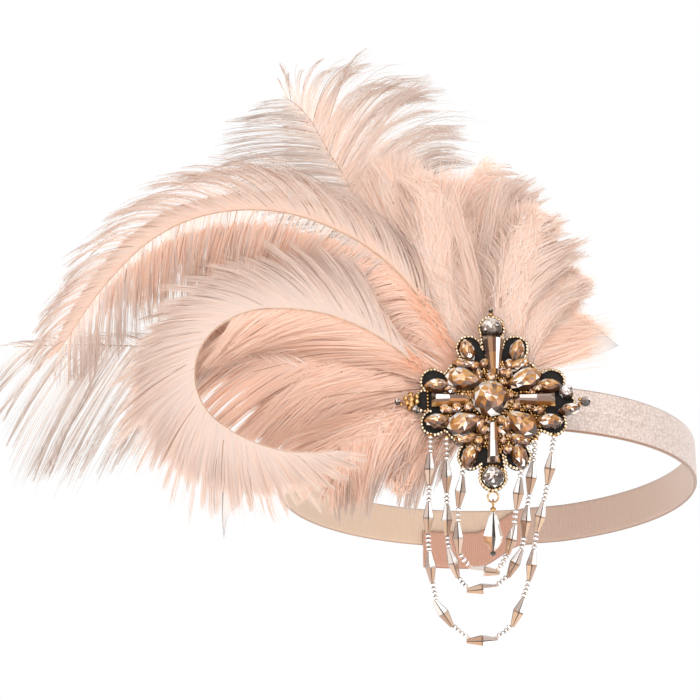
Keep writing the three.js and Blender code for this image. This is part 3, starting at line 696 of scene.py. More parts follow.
def layShaft(plume):
    # the shaft as a fine line: place along it, position, depth and course
    step = plumeBuild["shaftStep"]
    rows = np.array(plume["rows"], float)
    ends = np.cumsum(rows[:, 0])
    starts = ends - rows[:, 0]
    depthBefore = np.concatenate([[0], rows[:-1, 2]])
    turned = np.concatenate([[0], np.cumsum(rows[:-1, 1])])
    at = np.arange(0, ends[-1] + step / 2, step)
    row = np.minimum(np.searchsorted(ends, at, "right"), len(rows) - 1)
    share = np.clip((at - starts[row]) / rows[row, 0], 0, 1)
    course = np.radians(plume["heading"] + turned[row] + rows[row, 1] * share)
    middle = (course[1:] + course[:-1]) / 2
    angle, ring = math.radians(plume["angle"]), plumeBuild["quillRing"]
    x = ring * math.cos(angle) + np.concatenate([[0], np.cumsum(np.cos(middle) * step)])
    z = ring * math.sin(angle) + np.concatenate([[0], np.cumsum(np.sin(middle) * step)])
    depth = depthBefore[row] + (rows[row, 2] - depthBefore[row]) * share
    depth += plumeBuild["firstLayer"] + plume["layer"] * plumeBuild["layerPitch"]
    return {"at": at, "x": x, "z": z, "depth": depth, "course": course}


def layBarbs(shaft, habit, at, turn, stretch, swing):
    # paths of barbs that leave the shaft at these places: (count, points, xyz)
    def read(column):
        return np.interp(at, shaft["at"], shaft[column])

    side, steps = habit["side"], plumeBuild["barbSteps"]
    lean = np.radians(np.interp(at, *np.array(habit["lean"], float).T))
    length = np.interp(at, *np.array(habit["length"], float).T) * stretch
    angle = read("course") + side * lean + turn
    x, z = [read("x")], [read("z")]
    for t in (np.arange(steps) + 0.5) / steps:
        way = angle - side * math.radians(habit["hook"]) * t ** 1.5
        bend = habit["droop"] * t
        wayX = (1 - bend) * np.cos(way)
        wayZ = (1 - bend) * np.sin(way) - bend
        size = np.hypot(wayX, wayZ) + 1e-6
        x.append(x[-1] + wayX / size * length / steps)
        z.append(z[-1] + wayZ / size * length / steps)
    share = np.linspace(habit["skip"], 1, habit["bits"] + 1)
    pick = share * steps
    low = np.minimum(pick.astype(int), steps - 1)
    x, z = (line[:, low] + (line[:, low + 1] - line[:, low]) * (pick - low)
            for line in (np.stack(x, 1), np.stack(z, 1)))
    back = read("depth")[:, None] + (habit["cup"] * length)[:, None] * share ** 2
    back = back + (swing * length)[:, None] * share ** 1.5
    return np.stack([x, back, z], axis=-1), share


def makeCoat(shaft, habit):
    count, fray, bits = habit["count"], habit["fray"], habit["bits"]
    spans = np.array(habit["length"], float)
    first, last = spans[0, 0], spans[-1, 0]
    # more strands where the barbs are longer
    line = np.linspace(first, last, 400)
    weight = np.interp(line, *spans.T) + 4
    at = np.interp(dice.random(count), np.cumsum(weight) / weight.sum(), line)
    stretch = 1 - np.abs(dice.normal(0, habit["ragged"], count)) + dice.normal(0, strand["uneven"], count)
    stray = dice.random(count) < habit["stray"]
    stretch = np.where(stray, dice.uniform(*strand["strayStretch"], count), stretch)
    own, share = layBarbs(shaft, habit, at, dice.normal(0, strand["turn"] * fray, count),
                          np.clip(stretch, *strand["stretch"]), dice.normal(0, habit["swell"] * fray, count))
    scatter = dice.normal(0, 1, (count, 1, 3)) * np.array([1.0, 0.25, 1.0]) * habit["root"]
    own = own + scatter * (1 - 0.5 * share)[None, :, None]

    # locks: each strand is drawn to its lock's guide, more so towards the tip
    pitch = habit["clump"]
    locks = int((last - first) / pitch) + 2
    lock = np.floor((at - first) / pitch + dice.normal(0, strand["lockEdge"], count))
    lock = np.clip(lock, 0, locks - 1).astype(int)
    guideAt = first + (np.arange(locks) + dice.uniform(*strand["lockMiddle"], locks)) * pitch
    guides, _ = layBarbs(shaft, habit, np.minimum(guideAt, last),
                         dice.normal(0, strand["lockTurn"] * fray, locks),
                         1 + dice.normal(0, 0.5 * habit["ragged"], locks),
                         dice.normal(0, habit["swell"] * fray, locks))
    loose = dice.random(count) ** (1.2 - habit["pull"]) * np.where(stray, strand["strayHold"], 1.0)
    pull = habit["pull"] * loose[:, None] * share ** habit["close"]
    path = own + (guides[lock] - own) * pull[..., None]

    # flat strands, turned a little at random so that they catch the light differently
    along = np.gradient(path, axis=1)
    along /= np.linalg.norm(along, axis=2, keepdims=True) + 1e-9
    across = np.cross(along, [0.0, -1.0, 0.0])
    across /= np.linalg.norm(across, axis=2, keepdims=True) + 1e-9
    roll = dice.normal(0, habit["roll"], count)[:, None, None]
    across = across * np.cos(roll) + np.cross(along, across) * np.sin(roll)
    root, tip = habit["width"]
    wide = (root + (tip - root) * share ** strand["taper"]) * dice.uniform(*strand["widths"], count)[:, None]
    wide[:, -1] *= strand["tipWidth"]
    edge = across * (wide / 2)[..., None]
    points = np.stack([path - edge, path + edge], axis=2).reshape(-1, 3)
    corner = (np.arange(count) * (bits + 1) * 2)[:, None] + (np.arange(bits) * 2)[None, :]
    faces = np.stack([corner, corner + 1, corner + 3, corner + 2], axis=-1).reshape(-1, 4)

    tone = np.clip(habit["tone"] + dice.normal(0, habit["spread"], count), *strand["tones"])
    tone = np.where(dice.random(count) < habit["dark"], strand["darkTone"], tone)
    # each strand's place on the wear scale, root to tip, from its coat's shade: worn tips and painted shade
    low, high = habit["shade"]
    wearShade = np.broadcast_to(low + (high - low) * share, (count, bits + 1))
    under, over = (np.broadcast_to((tone + d)[:, None], (count, bits))
                   for d in (-strand["stripe"], strand["stripe"]))
    corners = ((wearShade[:, :-1], under), (wearShade[:, :-1], over), (wearShade[:, 1:], over), (wearShade[:, 1:], under))
    tint = np.stack([np.stack(pair, -1) for pair in corners], axis=2).reshape(-1, 2)
    return points, faces.tolist(), tint


def makeShaft(shaft, slender):
    sides = every = plumeBuild["shaftSides"]
    pick = np.unique(np.append(np.arange(0, len(shaft["at"]), every), len(shaft["at"]) - 1))
    share = shaft["at"][pick] / shaft["at"][-1]
    root, tip = plumeBuild["shaftRadius"]
    radius = (root + (tip - root) * share ** strand["taper"]) * slender
    middle = np.stack([shaft["x"], shaft["depth"], shaft["z"]], -1)[pick]
    course, level = shaft["course"][pick], np.zeros(len(pick))
    across = np.stack([-np.sin(course), level, np.cos(course)], -1)
    around = turns(sides)
    rings = (middle[:, None, :] + (radius[:, None] * np.cos(around))[..., None] * across[:, None, :]
             + (radius[:, None] * np.sin(around))[..., None] * np.array([0.0, 1.0, 0.0]))
    return rings.reshape(-1, 3), tubeFaces(len(pick), sides)


def makeVane(vane):
    # a small closed vane between two edges that meet in a point, cupped, with a firm upper edge
    steps, rows, cup = 24, 13, 0.8
    edges = []
    for side in ("upper", "lower"):
        edge = smoothLine(vane[side], 8)
        edges.append(edge[np.linspace(0, len(edge) - 1, steps + 1).round().astype(int)])
    low, high = vane["tones"]
    points, faces, tints = [], [], []
    for i in range(steps + 1):
        for q in np.arange(rows) / (rows - 1):
            x, z = edges[0][i] + (edges[1][i] - edges[0][i]) * q
            points.append([x, vane["depth"] + cup * (2 * q - 1) ** 2, z])
    streaks = dice.normal(0, 0.05, rows)
    for i in range(steps):
        for j in range(rows - 1):
            k = i * rows + j
            faces.append([k, k + 1, k + rows + 1, k + rows])
            tone = np.clip(low + (high - low) * (i / steps) ** 0.8 + streaks[j], 0.15, 0.98)
            over = tone + strand["stripe"]
            wearShade = 0.95 if j == 0 else 0.3 + 0.3 * (i / steps) ** 3
            tints += [(wearShade, tone), (wearShade, over), (wearShade + 0.02, over), (wearShade + 0.02, tone)]
    return points, faces, tints


def makePlume(name, plume):
    shaft = layShaft(plume)
    gather = Gather()
    for habit in plume["coats"]:
        gather.add(*makeCoat(shaft, habit))
    if "vane" in plume:
        gather.add(*makeVane(plume["vane"]), 2)
    hidden = "_fan" in name or "_down" in name
    stem = makeShaft(shaft, plumeBuild["hiddenShaft"] if hidden else 1.0)
    gather.add(*stem, (0.2, 0.5), 0 if hidden else 1)
    gather.piece(name + "_barbs", [barb, quill, vaneWeb], broochToFrame, name, "plume", smooth=(0, 1, 2))


for plumeName, plumeRow in plumes.items():
    makePlume(plumeName, plumeRow)
print("plumes laid")


# brooch

def unit(vector):
    vector = np.asarray(vector, float)
    return vector / (np.linalg.norm(vector) + 1e-12)


def roundBead(middle, radius, axis=(0, 0, 1), long=1.0, sides=10, rings=6):
    # a bead turned about its thread; long stretches it along the thread
    middle, axis = np.asarray(middle), unit(axis)
    across = unit(np.cross(axis, [0.3, 1.0, 0.1]))
    third = np.cross(axis, across)
    points = [middle - axis * radius * long]
    for p in np.linspace(0, math.pi, rings + 1)[1:-1]:
        flat = -math.cos(p) * radius * long
        wide = math.sin(p) ** 0.8 * radius
        points += [middle + axis * flat + wide * (across * math.cos(a) + third * math.sin(a))
                   for a in turns(sides)]
    points.append(middle + axis * radius * long)
    last = len(points) - 1
    faces = [[0, 1 + (j + 1) % sides, 1 + j] for j in range(sides)]
    faces += [[i + 1 for i in face] for face in tubeFaces(rings - 1, sides, capped=False)]
    top = 1 + (rings - 2) * sides
    faces += [[last, top + j, top + (j + 1) % sides] for j in range(sides)]
    return np.array(points), faces


def wireRing(middle, ring, wire, normal, sides=8, steps=24):
    normal = unit(normal)
    across = unit(np.cross(normal, [0.2, 0.4, 1.0]))
    third = np.cross(normal, across)
    points = []
    for a in turns(steps):
        out = across * math.cos(a) + third * math.sin(a)
        points += [np.asarray(middle) + out * (ring + wire * math.cos(b)) + normal * wire * math.sin(b)
                   for b in turns(sides)]
    return np.array(points), tubeFaces(steps, sides, looped=True)


def evenPlaces(line, pitch, closed=False):
    # points along a line at an even pitch, each with the way the line runs there
    line = np.asarray(line, float)
    if closed:
        line = np.vstack([line, line[:1]])
    far = walked(line)
    at = np.linspace(0, far[-1], max(2, int(round(far[-1] / pitch))), endpoint=not closed)
    ways = onLine(line, far, at + 0.1) - onLine(line, far, at - 0.1)
    return list(zip(onLine(line, far, at), ways))


brooch = {
    "feltThickness": 2.0,
    "feltRadius": 19.3,
    "feltEdge": 0.35,           # how far its cut edge rounds over
    "feltFace": 6,              # width of its flat faces' outer ring
    "rimBead": {"radius": 0.66, "pitch": 1.24, "inset": 0.3, "lift": 0.7},
    "stoneLift": 0.3,           # seat of the stones in front of the felt
    "fillReach": 18.2,          # small beads fill the gaps this far out
    "fillTries": ((1.9, 1500), (1.4, 1800), (1.0, 1500)),       # radius and how often it is tried
    "fillRoom": 0.45, "fillGap": 0.9,           # share of the radius kept from stones and from each other
    "fillRise": 0.8,
    "bedPitch": 0.95,           # gold seeds that close what is left
    "bedRow": 0.87, "bedShake": 0.12,
    "bedUnder": 0.5,            # mm that they may lie under a stone's edge
    "bedLift": (0.5, 1.1),      # least, and how much more at most
    # black felt left open: x, z, radius
    "bare": ((-4.5, 18.0, 2.2), (-4.2, 15.4, 1.7), (5.0, 18.0, 2.2), (4.8, 15.4, 1.6), (-3.6, -17.6, 1.6),
             (-21.4, -4.0, 1.5), (20.4, -4.2, 1.6), (22.6, 0.2, 1.6)),
}
seedShape = (0.92, 8, 6)        # length along the thread, sides, rings
goldShape = (0.9, 12, 8)

# petals: place x, z and the way they point; each has a lobe of felt behind it
petals = []
for side in (1, -1):
    for up in (1, -1):
        petals += [(20.5 * side, 7.4 * up, 0 if side > 0 else 180), (8.0 * side, 19.4 * up, 75 * side * up)]

feltLobes = [(x, z, 4.3) for x, z, _ in petals]
feltLobes += [(0, 26.6, 4.3), (-0.6, -26.6, 4.5), (23.4, 0, 4.4), (-23.4, 0.4, 3.7)]


def feltReach(angle):
    reach = brooch["feltRadius"]
    for x, z, radius in feltLobes:
        ahead = x * math.cos(angle) + z * math.sin(angle)
        inside = radius ** 2 - x ** 2 - z ** 2 + ahead ** 2
        if ahead > 0 and inside >= 0:
            reach = max(reach, ahead + math.sqrt(inside))
    return reach


def feltLine(depth, inset, steps):
    # once round the felt, this far inside its edge
    return [[(feltReach(a) - inset) * math.cos(a), depth, (feltReach(a) - inset) * math.sin(a)]
            for a in turns(steps)]


def makeFelt():
    steps = 240
    thick, edge, face = brooch["feltThickness"], brooch["feltEdge"], brooch["feltFace"]
    # depth and inset
    layers = [(0, face), (0, edge), (edge, 0), (thick - edge, 0), (thick, edge), (thick, face)]
    points = [point for depth, inset in layers for point in feltLine(depth, inset, steps)]
    piece = makePiece("felt_plate", broochToFrame(points), tubeFaces(len(layers), steps), [felt], smooth=True)
    handOver(piece, "brooch_backing")


def makeRim():
    # gold seed beads sewn one by one round the felt's edge
    rim = brooch["rimBead"]
    gather = Gather()
    for spot, way in evenPlaces(feltLine(-rim["lift"], rim["inset"], 720), rim["pitch"], closed=True):
        size = rim["radius"] * dice.uniform(0.92, 1.04)
        gather.add(*roundBead(spot + dice.normal(0, 0.06, 3), size, way, *seedShape))
    gather.piece("rim_beads", [paleGilt], broochToFrame, "bead_edging", "gold", smooth=(0,))


def stoneOutline(cut, length, width, count):
    around = turns(count)
    if cut == "round":
        return np.stack([width / 2 * np.cos(around), width / 2 * np.sin(around)], -1)
    if cut == "marquise":
        flank = np.sin(around) * np.abs(np.sin(around)) ** 0.4
    else:                       # pear: blunt outer end
        swell = 0.5 + 0.5 * np.sin(np.cos(around) * math.pi / 2 + 0.2)
        flank = np.sin(around) * (0.62 + 0.48 * swell)
    return np.stack([length / 2 * np.cos(around), width / 2 * flank], -1)


facets = {
    "rings": [(0.0, 0.86), (0.22, 1.0), (0.34, 1.0), (0.62, 0.9), (0.86, 0.68), (1.0, 0.36)],    # rise, scale
    "halfTurned": (3, 5),               # these rings lie half a step on
    "table": 1.02,                      # rise of the table's middle
    "light": (-0.24, -0.6, 0.76), "paintedFlash": (0.93, 0.05),        # facets are painted lighter the more they face this light, and white, a painted highlight, when they face it nearly straight
    # how much lighter a facet is painted the more it faces the light, the facing at which it keeps its
    # stone's level, and random spread
    "slope": 0.72, "level": 0.55, "noise": 0.12,
    "white": 0.09, "whites": (0.9, 1.0),        # share of facets painted white anyway, painted glints, and how bright
    # share of facets painted dark at random, painted shade, and how dark
    "dark": 0.1, "darks": (0.1, 0.28),
    "grey": 0.24, "greys": (0.5, 0.98), "warms": (0.02, 0.15),  # share on the grey scale, and how grey
}


# painted light for each facet: lighter the more it faces a fixed light in front, above and to the left, white
# when it faces it nearly straight, some white or dark at random; bright is the stone's level; the grey share
# is the glass's own colour
def litFacetTints(points, faces, bright):
    light = unit(facets["light"])
    paintedFlash, spread = facets["paintedFlash"]
    tints = []
    for face in faces:
        a, b, c = points[face[0]], points[face[1]], points[face[2]]
        facing = unit(np.cross(b - a, c - a)) @ light
        tint = bright + facets["slope"] * (facing - facets["level"]) + dice.normal(0, facets["noise"])
        chance = dice.random()
        if chance < facets["white"] or facing > paintedFlash + spread * dice.random():
            tint = dice.uniform(*facets["whites"])
        elif chance > 1 - facets["dark"]:
            tint = dice.uniform(*facets["darks"])
        grey = dice.uniform(*facets["greys" if dice.random() < facets["grey"] else "warms"])
        tints.append((float(np.clip(tint, 0.02, 0.99)), grey))
    return tints


def cutStone(stone):
    # rings of points, some turned half a step, so that the facets are kites
    count, height, rings = stone["count"], stone["height"], facets["rings"]
    outline = stoneOutline(stone["cut"], stone.get("length", stone["width"]), stone["width"], count)
    between = (outline + np.roll(outline, -1, axis=0)) / 2
    points, faces = [], []
    for i, (rise, scale) in enumerate(rings):
        ring = between if i in facets["halfTurned"] else outline
        points += [[p * scale, -rise * height, q * scale] for p, q in ring]
    points.append([0, -facets["table"] * height, 0])
    for i in range(len(rings) - 1):
        low, high = i * count, (i + 1) * count
        for j in range(count):
            k = (j + 1) % count
            if i + 1 in facets["halfTurned"]:
                faces += [[low + j, low + k, high + j], [high + j, low + k, high + k]]
            elif i in facets["halfTurned"]:
                faces += [[low + j, high + k, high + j], [low + j, low + k, high + k]]
            else:
                faces.append([low + j, low + k, high + k, high + j])
    last = (len(rings) - 1) * count
    # the table, cut once more
    faces += [[last + j, last + (j + 1) % count, len(points) - 1] for j in range(count)]
    faces.append(list(range(count))[::-1])
    return seatStone(np.array(points), stone), faces


def seatStone(points, stone):
    along = math.radians(stone.get("along", 0))
    c, s = math.cos(along), math.sin(along)
    p, y, q = points[:, 0], points[:, 1], points[:, 2]
    return np.stack([stone["x"] + p * c - q * s, y - brooch["stoneLift"], stone["z"] + p * s + q * c], -1)


def makeStone(name, stone, glass, slot):
    points, faces = cutStone(stone)
    gather = Gather()
    gather.add(points, faces, litFacetTints(points, faces, stone["bright"]))
    gather.piece(name + "_cut", [glass], broochToFrame, name, slot)


# arms: long tapered bars with a roof of five facets
# tints: (painted light, grey) of each facet from one flank to the other, for the inner half and for the outer
# half; painted highlights and painted shade listed facet by facet
arms = {
    "stone_arm_north": {"x": 0.5, "z": 16.4, "along": 90, "length": 14.0, "width": 7.6, "inner": 3.6,
                        "tints": (
        ((0.45, 0.6), (0.99, 0.5), (0.3, 0.1), (0.6, 0.3), (0.34, 0.8)),
        ((0.5, 0.6), (0.99, 0.5), (0.12, 0.3), (0.5, 0.5), (0.24, 0.9)))},
    "stone_arm_south": {"x": -0.3, "z": -14.2, "along": -90, "length": 14.6, "width": 4.4, "inner": 3.0,
                        "tints": (
        ((0.4, 0.7), (0.99, 0.7), (0.9, 0.7), (0.3, 0.3), (0.5, 0.1)),
        ((0.5, 0.7), (0.99, 0.8), (0.97, 0.8), (0.35, 0.8), (0.2, 0.1)))},
    "stone_arm_east": {"x": 14.2, "z": 0.6, "along": 0, "length": 13.6, "width": 4.8, "inner": 3.0,
                       "tints": (
        ((0.2, 0.3), (0.35, 0.9), (0.9, 0.8), (0.99, 0.8), (0.5, 0.6)),
        ((0.35, 0.1), (0.25, 0.7), (0.4, 0.9), (0.52, 0.9), (0.3, 0.8)))},
    "stone_arm_west": {"x": -14.6, "z": 0.4, "along": 180, "length": 12.8, "width": 4.8, "inner": 2.8,
                       "tints": (
        ((0.3, 0.7), (0.45, 0.9), (0.2, 0.7), (0.4, 0.1), (0.3, 0.0)),
        ((0.6, 0.8), (0.99, 0.8), (0.97, 0.8), (0.16, 0.6), (0.5, 0.05)))},
}
armCut = {
    "height": 4.4, "bevel": 1.4, "end": 0.45,           # mm, mm, share of the height at the ends
    "girdle": 0.3,              # share of the height up to which the flanks are upright
    "section": [(-0.92, 0.0), (-1.0, 0.3), (-0.62, 0.86), (-0.2, 1.0),
                (0.16, 1.0), (0.6, 0.86), (1.0, 0.3), (0.92, 0.0)],     # across and up
    "flank": (0.25, 0.4), "under": (0.1, 0.5), "ends": [(0.3, 0.5), (0.6, 0.5)],        # their tints; flanks and underside painted dark as shade
}


def makeArm(name, arm):
    half, inner, outer = arm["length"] / 2, arm["inner"] / 2, arm["width"] / 2
    bevel, end, section = armCut["bevel"], armCut["end"], armCut["section"]
    # along and height
    stations = [(-half, end), (-half + bevel, 1.0), (0.4, 1.0), (half - bevel, 1.0), (half, end)]
    points = []
    for p, rise in stations:
        wide = inner + (outer - inner) * (p + half) / (2 * half)
        points += [[p, -armCut["height"] * h * (rise if h > armCut["girdle"] else 1), wide * q]
                   for q, h in section]
    tints = []
    for i in range(len(stations) - 1):
        row = list(arm["tints"][0 if i < 2 else 1])
        if i in (0, 3):         # the bevels at the ends take the opposite painted light: bright facets darker, dark ones lighter
            row = [(1.05 - shade, grey) if shade > 0.5 else (shade + 0.3, grey) for shade, grey in row]
        tints += [armCut["flank"]] + row + [armCut["flank"], armCut["under"]]
    gather = Gather()
    faces = tubeFaces(len(stations), len(section))
    gather.add(seatStone(np.array(points), arm), faces, tints + armCut["ends"])
    gather.piece(name + "_cut", [champagne], broochToFrame, name, "champagne_glass")


stones = {
    "stone_centre": {"cut": "round", "x": -0.9, "z": 0.8, "width": 13.0, "height": 6, "count": 12,
                     "bright": 0.46},
    "stone_end_north": {"cut": "round", "x": 0, "z": 26.4, "width": 7.4, "height": 4.4, "count": 13,
                        "bright": 0.5},
    "stone_end_south": {"cut": "round", "x": -0.6, "z": -26.6, "width": 7.6, "height": 4.4, "count": 13,
                        "bright": 0.4},
    "stone_side_round": {"cut": "round", "x": 25.0, "z": 3.3, "width": 5.2, "height": 4.4, "count": 9,
                         "bright": 0.72},
    "stone_side_marquise": {"cut": "marquise", "x": 25.8, "z": -3.0, "along": 14, "length": 8, "width": 4.4,
                            "height": 4.4, "count": 10, "bright": 0.45},
}
pears = {"ne": (10.6, 7.5, 18, 12.6, 8.8), "nw": (-9.6, 7.6, 170, 13.8, 9.0),
         "sw": (-9.6, -8.0, 194, 13.2, 9.2), "se": (9.4, -7.9, -35, 12.6, 9.6)}
for corner, (x, z, along, length, width) in pears.items():
    stones["stone_pear_" + corner] = {"cut": "pear", "x": x, "z": z, "along": along, "length": length,
                                      "width": width, "height": 4.6, "count": 10, "bright": 0.46}
for number, (x, z, along) in enumerate(petals, 1):
    inX, inZ = (0.93, 0.84) if abs(x) > abs(z) else (1.06, 0.96)        # moved in from the middle of the lobe
    stones["stone_petal_" + str(number)] = {
        "cut": "marquise", "x": x * inX, "z": z * inZ - 0.9, "along": along,
        "length": 9.2, "width": 5.6, "height": 4.4, "count": 10, "bright": 0.47}


def makeStones():
    for name, stone in stones.items():
        grey = "end" in name or name == "stone_side_round"
        makeStone(name, stone, smoke if grey else champagne, "smoke_glass" if grey else "champagne_glass")
    for name, arm in arms.items():
        makeArm(name, arm)


def onStone(x, z, room):
    # whether a bead of this radius would stand in a stone
    for stone in list(stones.values()) + list(arms.values()):
        along = math.radians(stone.get("along", 0))
        p = (x - stone["x"]) * math.cos(along) + (z - stone["z"]) * math.sin(along)
        q = (z - stone["z"]) * math.cos(along) - (x - stone["x"]) * math.sin(along)
        half, wide = stone.get("length", stone["width"]) / 2, stone["width"] / 2
        if "inner" in stone:
            wide = stone["inner"] / 2 + (wide - stone["inner"] / 2) * (p + half) / (2 * half)
            if abs(p) < half + room and abs(q) < wide + room:
                return True
        elif (p / (half + room)) ** 2 + (q / (wide + room)) ** 2 < 1:
            return True
    return False


def isBare(x, z):
    return any(math.hypot(x - bx, z - bz) < radius for bx, bz, radius in brooch["bare"])


def fillPlaces():
    # beads of falling size wherever the felt is still open
    placed = []
    for radius, tries in brooch["fillTries"]:
        for _ in range(tries):
            r, a = brooch["fillReach"] * math.sqrt(dice.random()), dice.uniform(0, 2 * math.pi)
            x, z = r * math.cos(a), r * math.sin(a)
            free = not onStone(x, z, radius * brooch["fillRoom"]) and not isBare(x, z)
            if free and all(math.hypot(x - px, z - pz) > brooch["fillGap"] * (radius + pr)
                            for px, pz, pr in placed):
                placed.append((x, z, radius))
    return placed


def bedPlaces():
    # rows of gold seeds over the felt that shows between stones and beads
    pitch, reach, shake = brooch["bedPitch"], brooch["fillReach"], brooch["bedShake"]
    spots = []
    for i, z in enumerate(np.arange(-reach, reach, brooch["bedRow"] * pitch)):
        for x in np.arange(-reach, reach, pitch) + (i % 2) * pitch / 2:
            x, up = x + dice.normal(0, shake), z + dice.normal(0, shake)
            if math.hypot(x, up) < reach and not isBare(x, up) and not onStone(x, up, -brooch["bedUnder"]):
                spots.append((x, up))
    return spots


# beads at the points: place and radius of each, cut glass or gold
tips = {
    "bead_tip_north": {"glass": [(0, 0.6, 33.3, 0.9)], "gold": [(0, 0.4, 31.7, 0.85)]},
    "bead_tip_east": {"glass": [(31.6, 0.2, 0.4, 1.9)], "gold": [(29.6, 0, -0.6, 0.7), (29.7, 0, 1.1, 0.7)]},
    "bead_tip_west": {"glass": [(-32.6, 0.6, 0.4, 1.15)], "gold": [(-31.2, 0.2, -0.5, 0.75)]},
    "bead_west_cluster": {"glass": [(-26.4, -1.2, -3.0, 1.3)], "gold": [
        (-28.2, -1.2, 2.4, 1.05), (-29.8, -0.8, 1.2, 1.0), (-27.8, -1.8, 0.8, 1.15),
        (-29.4, -1.2, -0.5, 1.05), (-27.8, -1.6, -1.0, 1.1), (-28.6, -0.8, -2.2, 1.0),
        (-26.0, -1.4, 1.7, 1.05), (-26.0, -1.6, -0.2, 1.05)]},
}


def makeTips():
    for name, tip in tips.items():
        gather = Gather()
        for x, y, z, radius in tip["glass"]:
            points, faces = roundBead((x, y, z), radius, (x, 0, z), 0.9, 9, 6)
            gather.add(points, faces, litFacetTints(points, faces, 0.3), 1)
        for x, y, z, radius in tip["gold"]:
            gather.add(*roundBead((x, y, z), radius, (x, 0, z), *goldShape))
        slot = "gold" if "cluster" in name else "smoke_glass"
        gather.piece(name + "_bead", [gilt, smoke], broochToFrame, name, slot, smooth=(0,))


# what fills the brooch between its stones
seeds = {
    "radius": 0.5, "pitch": 1.1, "lift": 0.75,
    "rings": ((0, 26.4, 4.2), (-0.6, -26.6, 4.2)),      # round the two end stones: x, z, radius
    "row": ((-22.3, -2.6), (-22.3, 4.8)),               # a short row beside the west arm
    "bright": 0.46,
    # amber chips between the petals and the pears: x, z, way, length, width
    "chips": ((-9.6, 13.0, 172, 8.6, 4.4), (8.8, 13.0, 28, 8.0, 4.6), (-9.2, -13.4, 200, 8.4, 4.6),
              (8.6, -13.8, -24, 8.2, 5.0), (-15.2, 4.0, 176, 6.4, 3.0), (15.4, 4.2, 4, 6.0, 2.8),
              (-14.8, -3.6, 184, 6.4, 3.0), (15.0, -3.4, -4, 6.0, 2.8), (4.2, -8.6, -80, 6.6, 3.4),
              (-4.4, -9.0, -104, 6.4, 3.2), (-4.6, 9.4, 104, 5.4, 3.0), (5.4, 9.6, 76, 5.2, 3.0)),
    "chipHeight": 3.2,
}


def makeSeeds():
    # gold seed beads, amber chips and small cut beads
    gather = Gather()
    size, lift = seeds["radius"], seeds["lift"]
    places = []
    for x, z, radius in seeds["rings"]:
        line = [[x + radius * math.cos(a), -lift, z + radius * math.sin(a)] for a in turns(90)]
        places += evenPlaces(line, seeds["pitch"], closed=True)
    places += evenPlaces([[x, -lift, z] for x, z in seeds["row"]], seeds["pitch"])
    for spot, way in places:
        gather.add(*roundBead(spot, size, way, *seedShape))
    cuts = [cutStone({"cut": "marquise", "x": x, "z": z, "along": along, "length": length, "width": width,
                      "height": seeds["chipHeight"], "count": 8})
            for x, z, along, length, width in seeds["chips"]]
    for points, faces in cuts:
        gather.add(points, faces, litFacetTints(points, faces, seeds["bright"]), 1)
    for x, z, radius in fillPlaces():
        spot = (x, -brooch["stoneLift"] - brooch["fillRise"] * radius, z)
        points, faces = roundBead(spot, radius, (0, -1, 0), brooch["fillRise"], 8, 6)
        gather.add(points, faces, litFacetTints(points, faces, seeds["bright"]), 1)
    least, more = brooch["bedLift"]
    for x, z in bedPlaces():
        spot = (x, -least - more * dice.random(), z)
        gather.add(*roundBead(spot, size * dice.uniform(0.95, 1.25), (x, 0, z), *seedShape))
    gather.piece("seed_beads", [gilt, champagne], broochToFrame, None, "gold", smooth=(0,))


makeFelt()
makeRim()
makeStones()
makeTips()
makeSeeds()
print("brooch set")


# strings of beads

bicone = {
    "length": 10.6, "radius": 1.85, "waist": 0.3, "endRadius": 0.75,
    # narrow facets at the front and at the edges
    "corners": [83, 97, 152, 180, 208, 263, 277, 332, 360, 388],
    "streaks": 0.7,             # share of the clear halves that show the thread as a dark streak
    "firstShines": 0.6,         # share in which the first of the two front facets gets the painted highlight
}
swagSeed = {"pitch": 1.52, "radius": 0.98, "long": 0.7, "sides": 10, "grey": 0.3}
swagThread = {"radius": 0.3, "step": 1.2, "sides": 6}
swagEnd = {"radius": 0.95, "in": 0.5}           # gold bead that the string is sewn on with

# lines in mm across and up from the brooch's middle, hanging straight down
swags = {
    "swag_outer": {"depth": -4.4, "beads": 9, "margin": 11.6, "line": [
        (-21.5, -10.8), (-22, -30), (-22, -50), (-18, -70), (-6, -80.5), (4.5, -77), (11, -63), (14.5, -44),
        (18, -28), (20.5, -10.8)]},
    "swag_middle": {"depth": -4.6, "beads": 7, "margin": 13.6, "line": [
        (-16, -11.3), (-16, -32), (-15, -50), (-9, -62.5), (2, -61), (9, -50), (11.5, -34), (14.2, -11.9)]},
    "swag_inner": {"depth": -6.9, "beads": 5, "margin": 8.6, "line": [
        (-10.5, -21.3), (-12.3, -40), (-11, -52), (-5, -56.5), (1, -56), (5.2, -48), (7.6, -34), (9.1, -22)]},
}


